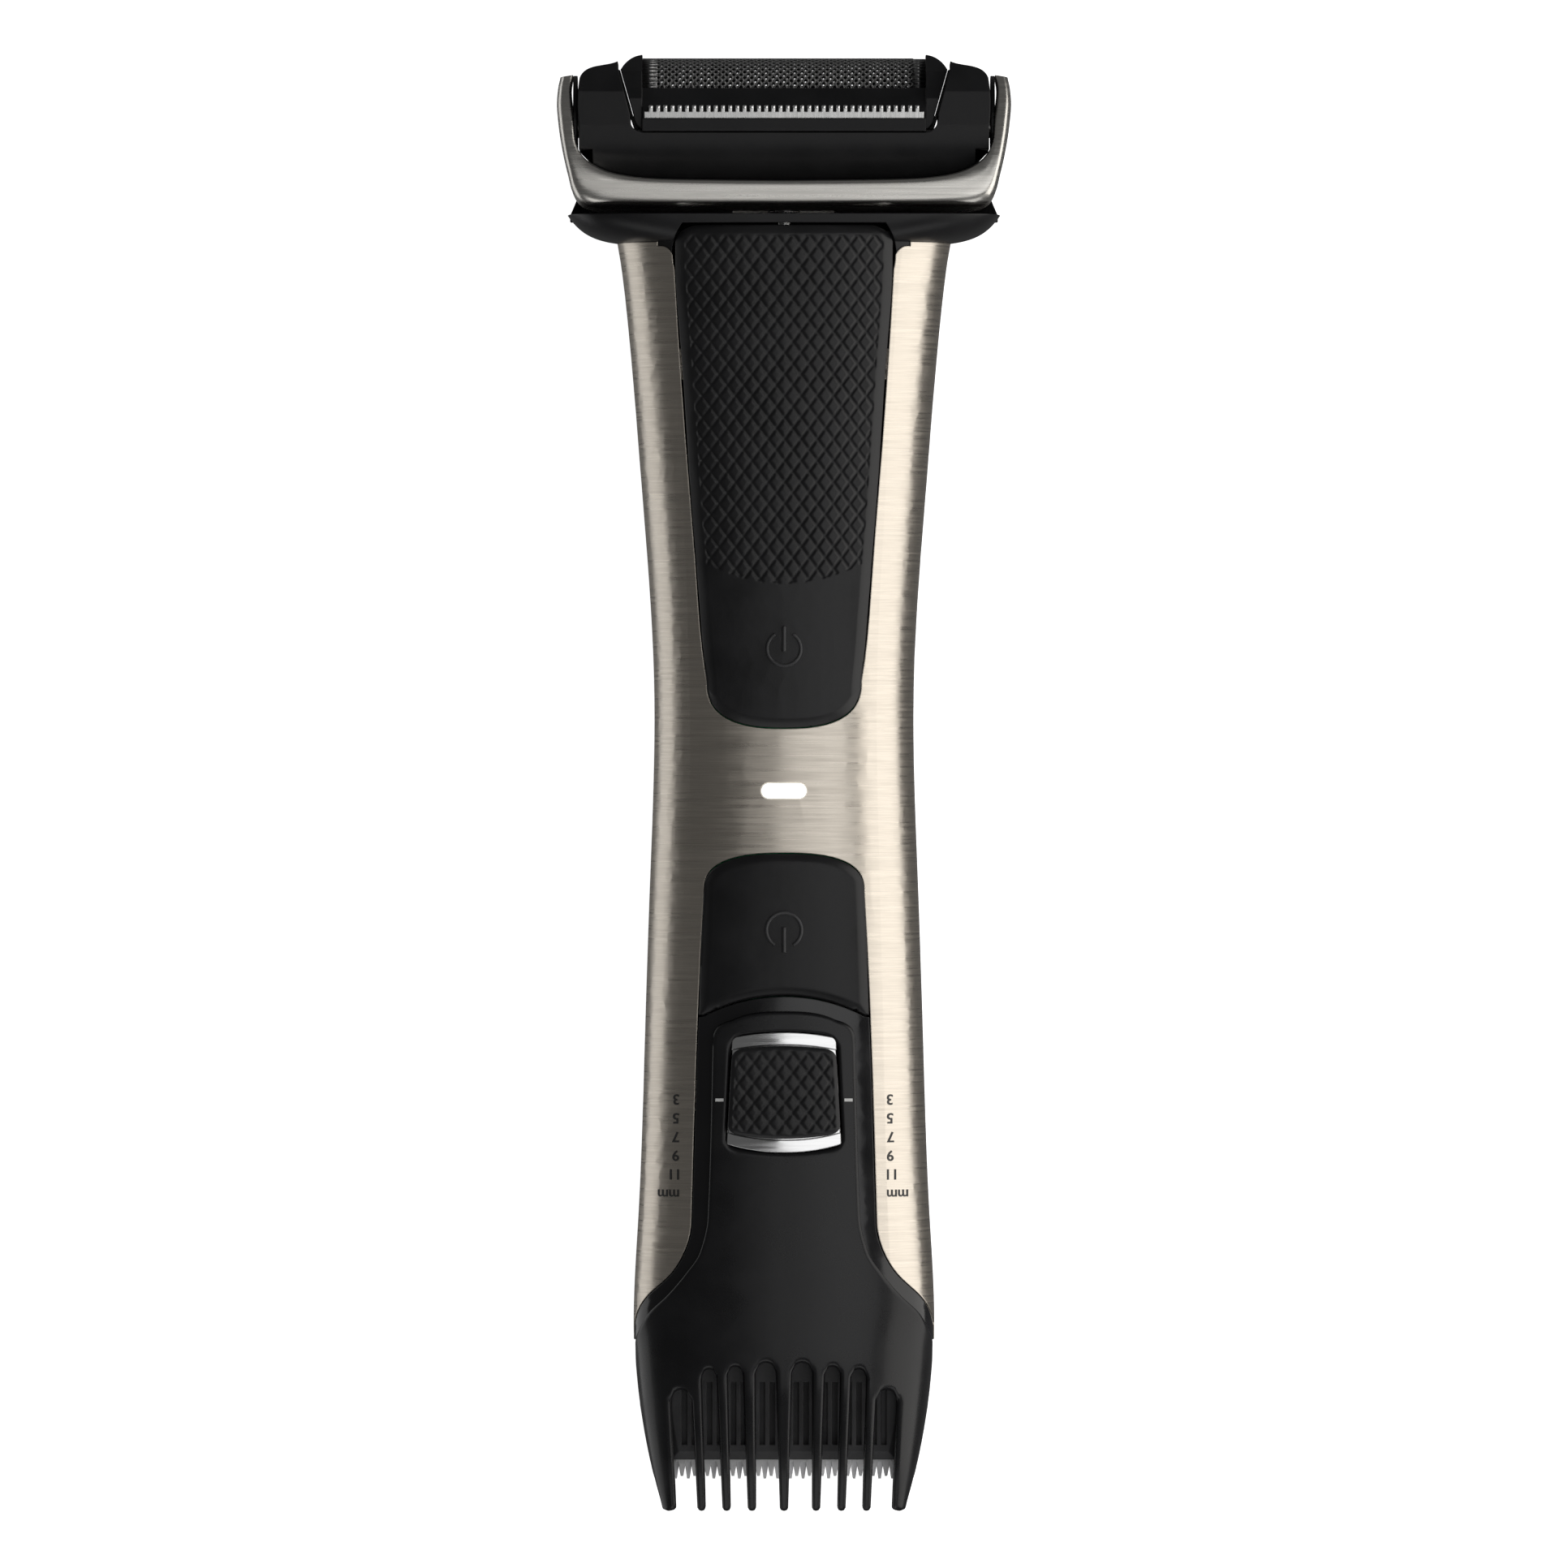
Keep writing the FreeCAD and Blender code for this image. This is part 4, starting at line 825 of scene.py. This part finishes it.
def setting_lines(comb):
    """White lines on the comb that point at the length settings."""
    surface = Surface(comb)
    for side in (-1, 1):
        vertices = []
        for x in (8.9, 9.3, 9.7, 10.1):
            for y in (-46.28, -46.72):
                z = surface.height(side * x * MM, y * MM)
                vertices.append((side * x * MM, y * MM, z + 0.03 * MM))
        faces = [(2 * n, 2 * n + 1, 2 * n + 3, 2 * n + 2) for n in range(3)]
        piece("setting_line_%s" % ("left" if side < 0 else "right"), vertices, faces, WHITE_PRINT, "comb")


# ---------------------------------------------------------------- foil and guard combs

HOLE_PITCH = 1.06 * MM
GUARD_PITCH, GUARD_COUNT = 1.06 * MM, 38


def perforated_foil():
    """Thin arch with staggered diamond holes, plain at both ends."""
    low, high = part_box("foil")
    radius = (high.z - low.z) / 2.0 - 0.02 * MM
    centre_y, centre_z = high.y - radius, (low.z + high.z) / 2.0
    half = high.x - 1.6 * MM
    end = high.x + 0.16 * MM
    pitch = HOLE_PITCH
    count = int(2 * half / pitch)
    turns = math.radians(88)
    rows = int(2 * turns * radius / (1.0 * MM))
    vertices, faces = [], []

    def place(x, turn):
        return (x, centre_y + radius * math.cos(turn), centre_z + radius * math.sin(turn))

    def cell(x, turn, wide, tall, hole):
        first = len(vertices)
        for factor in (1.0, hole):
            for across, up in ((-1, 0), (0, -1), (1, 0), (0, 1)):
                vertices.append(place(x + across * wide * factor, turn + up * tall * factor))
        for corner in range(4):
            after = (corner + 1) % 4
            faces.append((first + corner, first + after, first + 4 + after, first + 4 + corner))

    tall = turns / rows
    for row in range(2 * rows - 1):
        shift = 0.5 if row % 2 else 0.0
        for column in range(count - (1 if row % 2 else 0)):
            x = (column - (count - 1) / 2.0 + shift) * pitch
            cell(x, -turns + tall * (row + 1), pitch / 2.0, tall, 0.62)
    for side in (-1, 1):
        for step in range(24):
            first = len(vertices)
            for x in (half - 0.4 * MM, end):
                for edge in (step, step + 1):
                    vertices.append(place(side * x, -turns + 2 * turns * edge / 24.0))
            faces.append((first, first + 1, first + 3, first + 2))
    for side in (-1, 1):
        first = len(vertices)
        for x in (-end, end):
            vertices.append((x, centre_y, centre_z + side * radius))
            vertices.append((x, centre_y - 2.8 * MM, centre_z + side * radius))
        faces.append((first, first + 1, first + 3, first + 2))
    foil = piece("perforated_foil", vertices, faces, FOIL_STEEL, "foil_unit")
    thick = foil.modifiers.new("thickness", "SOLIDIFY")
    thick.thickness = 0.09 * MM
    thick.offset = -1.0
    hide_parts("foil")


def ball(vertices, faces, centre, radius):
    """Small ball of three rings, added to a list of vertices and faces."""
    first = len(vertices)
    around = 8
    for tilt in (-50, 0, 50):
        flat, up = math.cos(math.radians(tilt)), math.sin(math.radians(tilt))
        for step in range(around):
            turn = 2 * math.pi * step / around
            across, along = radius * flat * math.cos(turn), radius * flat * math.sin(turn)
            vertices.append((centre[0] + across, centre[1] + along, centre[2] + radius * up))
    for ring in range(2):
        for step in range(around):
            after = (step + 1) % around
            low, high = first + ring * around, first + (ring + 1) * around
            faces.append((low + step, low + after, high + after, high + step))
    faces.append(tuple(first + step for step in reversed(range(around))))
    faces.append(tuple(first + 2 * around + step for step in range(around)))


def guard_tips(node_name):
    """Round tips on the teeth of a guard comb."""
    low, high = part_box(node_name)
    vertices, faces = [], []
    for number in range(GUARD_COUNT):
        x = (number - (GUARD_COUNT - 1) / 2.0) * GUARD_PITCH
        ball(vertices, faces, (x, high.y - 0.25 * MM, (low.z + high.z) / 2.0), 0.36 * MM)
    piece(node_name + "_tips", vertices, faces, CHROME, "cartridge")


# ---------------------------------------------------------------- studio

def floor():
    """Pale floor that curves up into a pale wall, well behind every camera."""
    mesh = bpy.data.meshes.new("floor")
    around = 64
    profile = ((3.3, 0.0), (3.8, 0.1), (4.2, 0.4), (4.4, 0.9), (4.5, 1.6), (4.5, 4.0))
    turns = [2 * math.pi * step / around for step in range(around)]
    vertices = [(reach * math.cos(turn), reach * math.sin(turn), height)
                for reach, height in profile for turn in turns]
    faces = [tuple(range(around))]
    for level in range(len(profile) - 1):
        for step in range(around):
            after = (step + 1) % around
            low, high = level * around, (level + 1) * around
            faces.append((low + step, high + step, high + after, low + after))
    mesh.from_pydata(vertices, [], faces)
    item = bpy.data.objects.new("floor", mesh)
    item.location.z = -0.4 * MM
    scene.collection.objects.link(item)
    material, _ = shader("pale_floor", (0.9, 0.9, 0.9), roughness=0.9, emission=(1.0, 1.0, 1.0, 0.95))
    mesh.materials.append(material)
    item.visible_glossy = False
    item.visible_diffuse = False
    item.visible_shadow = False


def softbox(name, tilt, distance, length, width, radiance, colour=(1.0, 1.0, 1.0), along=0.0):
    """Long soft box that runs along Y. tilt is its direction from straight above, positive to +X."""
    turn = math.radians(tilt)
    place = Vector((distance * math.sin(turn), along, 0.015 + distance * math.cos(turn)))
    away = (place - Vector((0.0, 0.0, 0.015))).normalized()
    lengthwise = (Vector((0.0, 1.0, 0.0)) - away * away.y).normalized()
    light = bpy.data.lights.new(name, "AREA")
    light.shape = "RECTANGLE"
    light.size, light.size_y = length, width
    light.energy = radiance * math.pi * length * width
    light.color = colour
    item = bpy.data.objects.new(name, light)
    item.visible_camera = False
    turned = Matrix((lengthwise, away.cross(lengthwise), away)).transposed().to_4x4()
    item.matrix_world = Matrix.Translation(place) @ turned
    scene.collection.objects.link(item)


def studio():
    world = bpy.data.worlds.new("studio_air")
    world.use_nodes = True
    world.node_tree.nodes["Background"].inputs["Color"].default_value = (0.09, 0.09, 0.09, 1.0)
    scene.world = world
    softbox("right_box", 74.0, 0.9, 1.7, 1.15, 1.5, colour=(1.0, 0.98, 0.95))
    softbox("overhead", 15.0, 1.4, 1.5, 0.8, 1.0)
    softbox("left_strip", -117.0, 0.9, 1.7, 0.72, 0.75)
    softbox("foot_box", 0.0, 0.25, 0.5, 0.9, 0.9, along=-0.85)
    scene.view_settings.view_transform = "Standard"


def camera():
    lens, sensor = 480.0, 36.0
    frame_width = 231.8 * MM
    data = bpy.data.cameras.new("camera")
    data.lens, data.sensor_width = lens, sensor
    data.clip_start, data.clip_end = 0.01, 10.0
    item = bpy.data.objects.new("camera", data)
    item.location = (0.0, 0.0, 15 * MM + frame_width * lens / sensor)
    scene.collection.objects.link(item)
    scene.camera = item


dress_cad_nodes()
upper_plate = shaver_button()
lower_plate = trimmer_button()
lock_pad()
comb = smooth_comb()
yoke_band()
tilt_discs()
collar_back()
pocket_shade_liners()
power_icon("shaver_icon", Surface(upper_plate), 19.9 * MM, 2.75 * MM, 1, "shaver_button")
power_icon("trimmer_icon", Surface(lower_plate), -21.5 * MM, 2.85 * MM, -1, "trimmer_button")
scale_marks()
setting_lines(comb)
perforated_foil()
guard_tips("front_guard_comb")
guard_tips("rear_guard_comb")
floor()
studio()
camera()
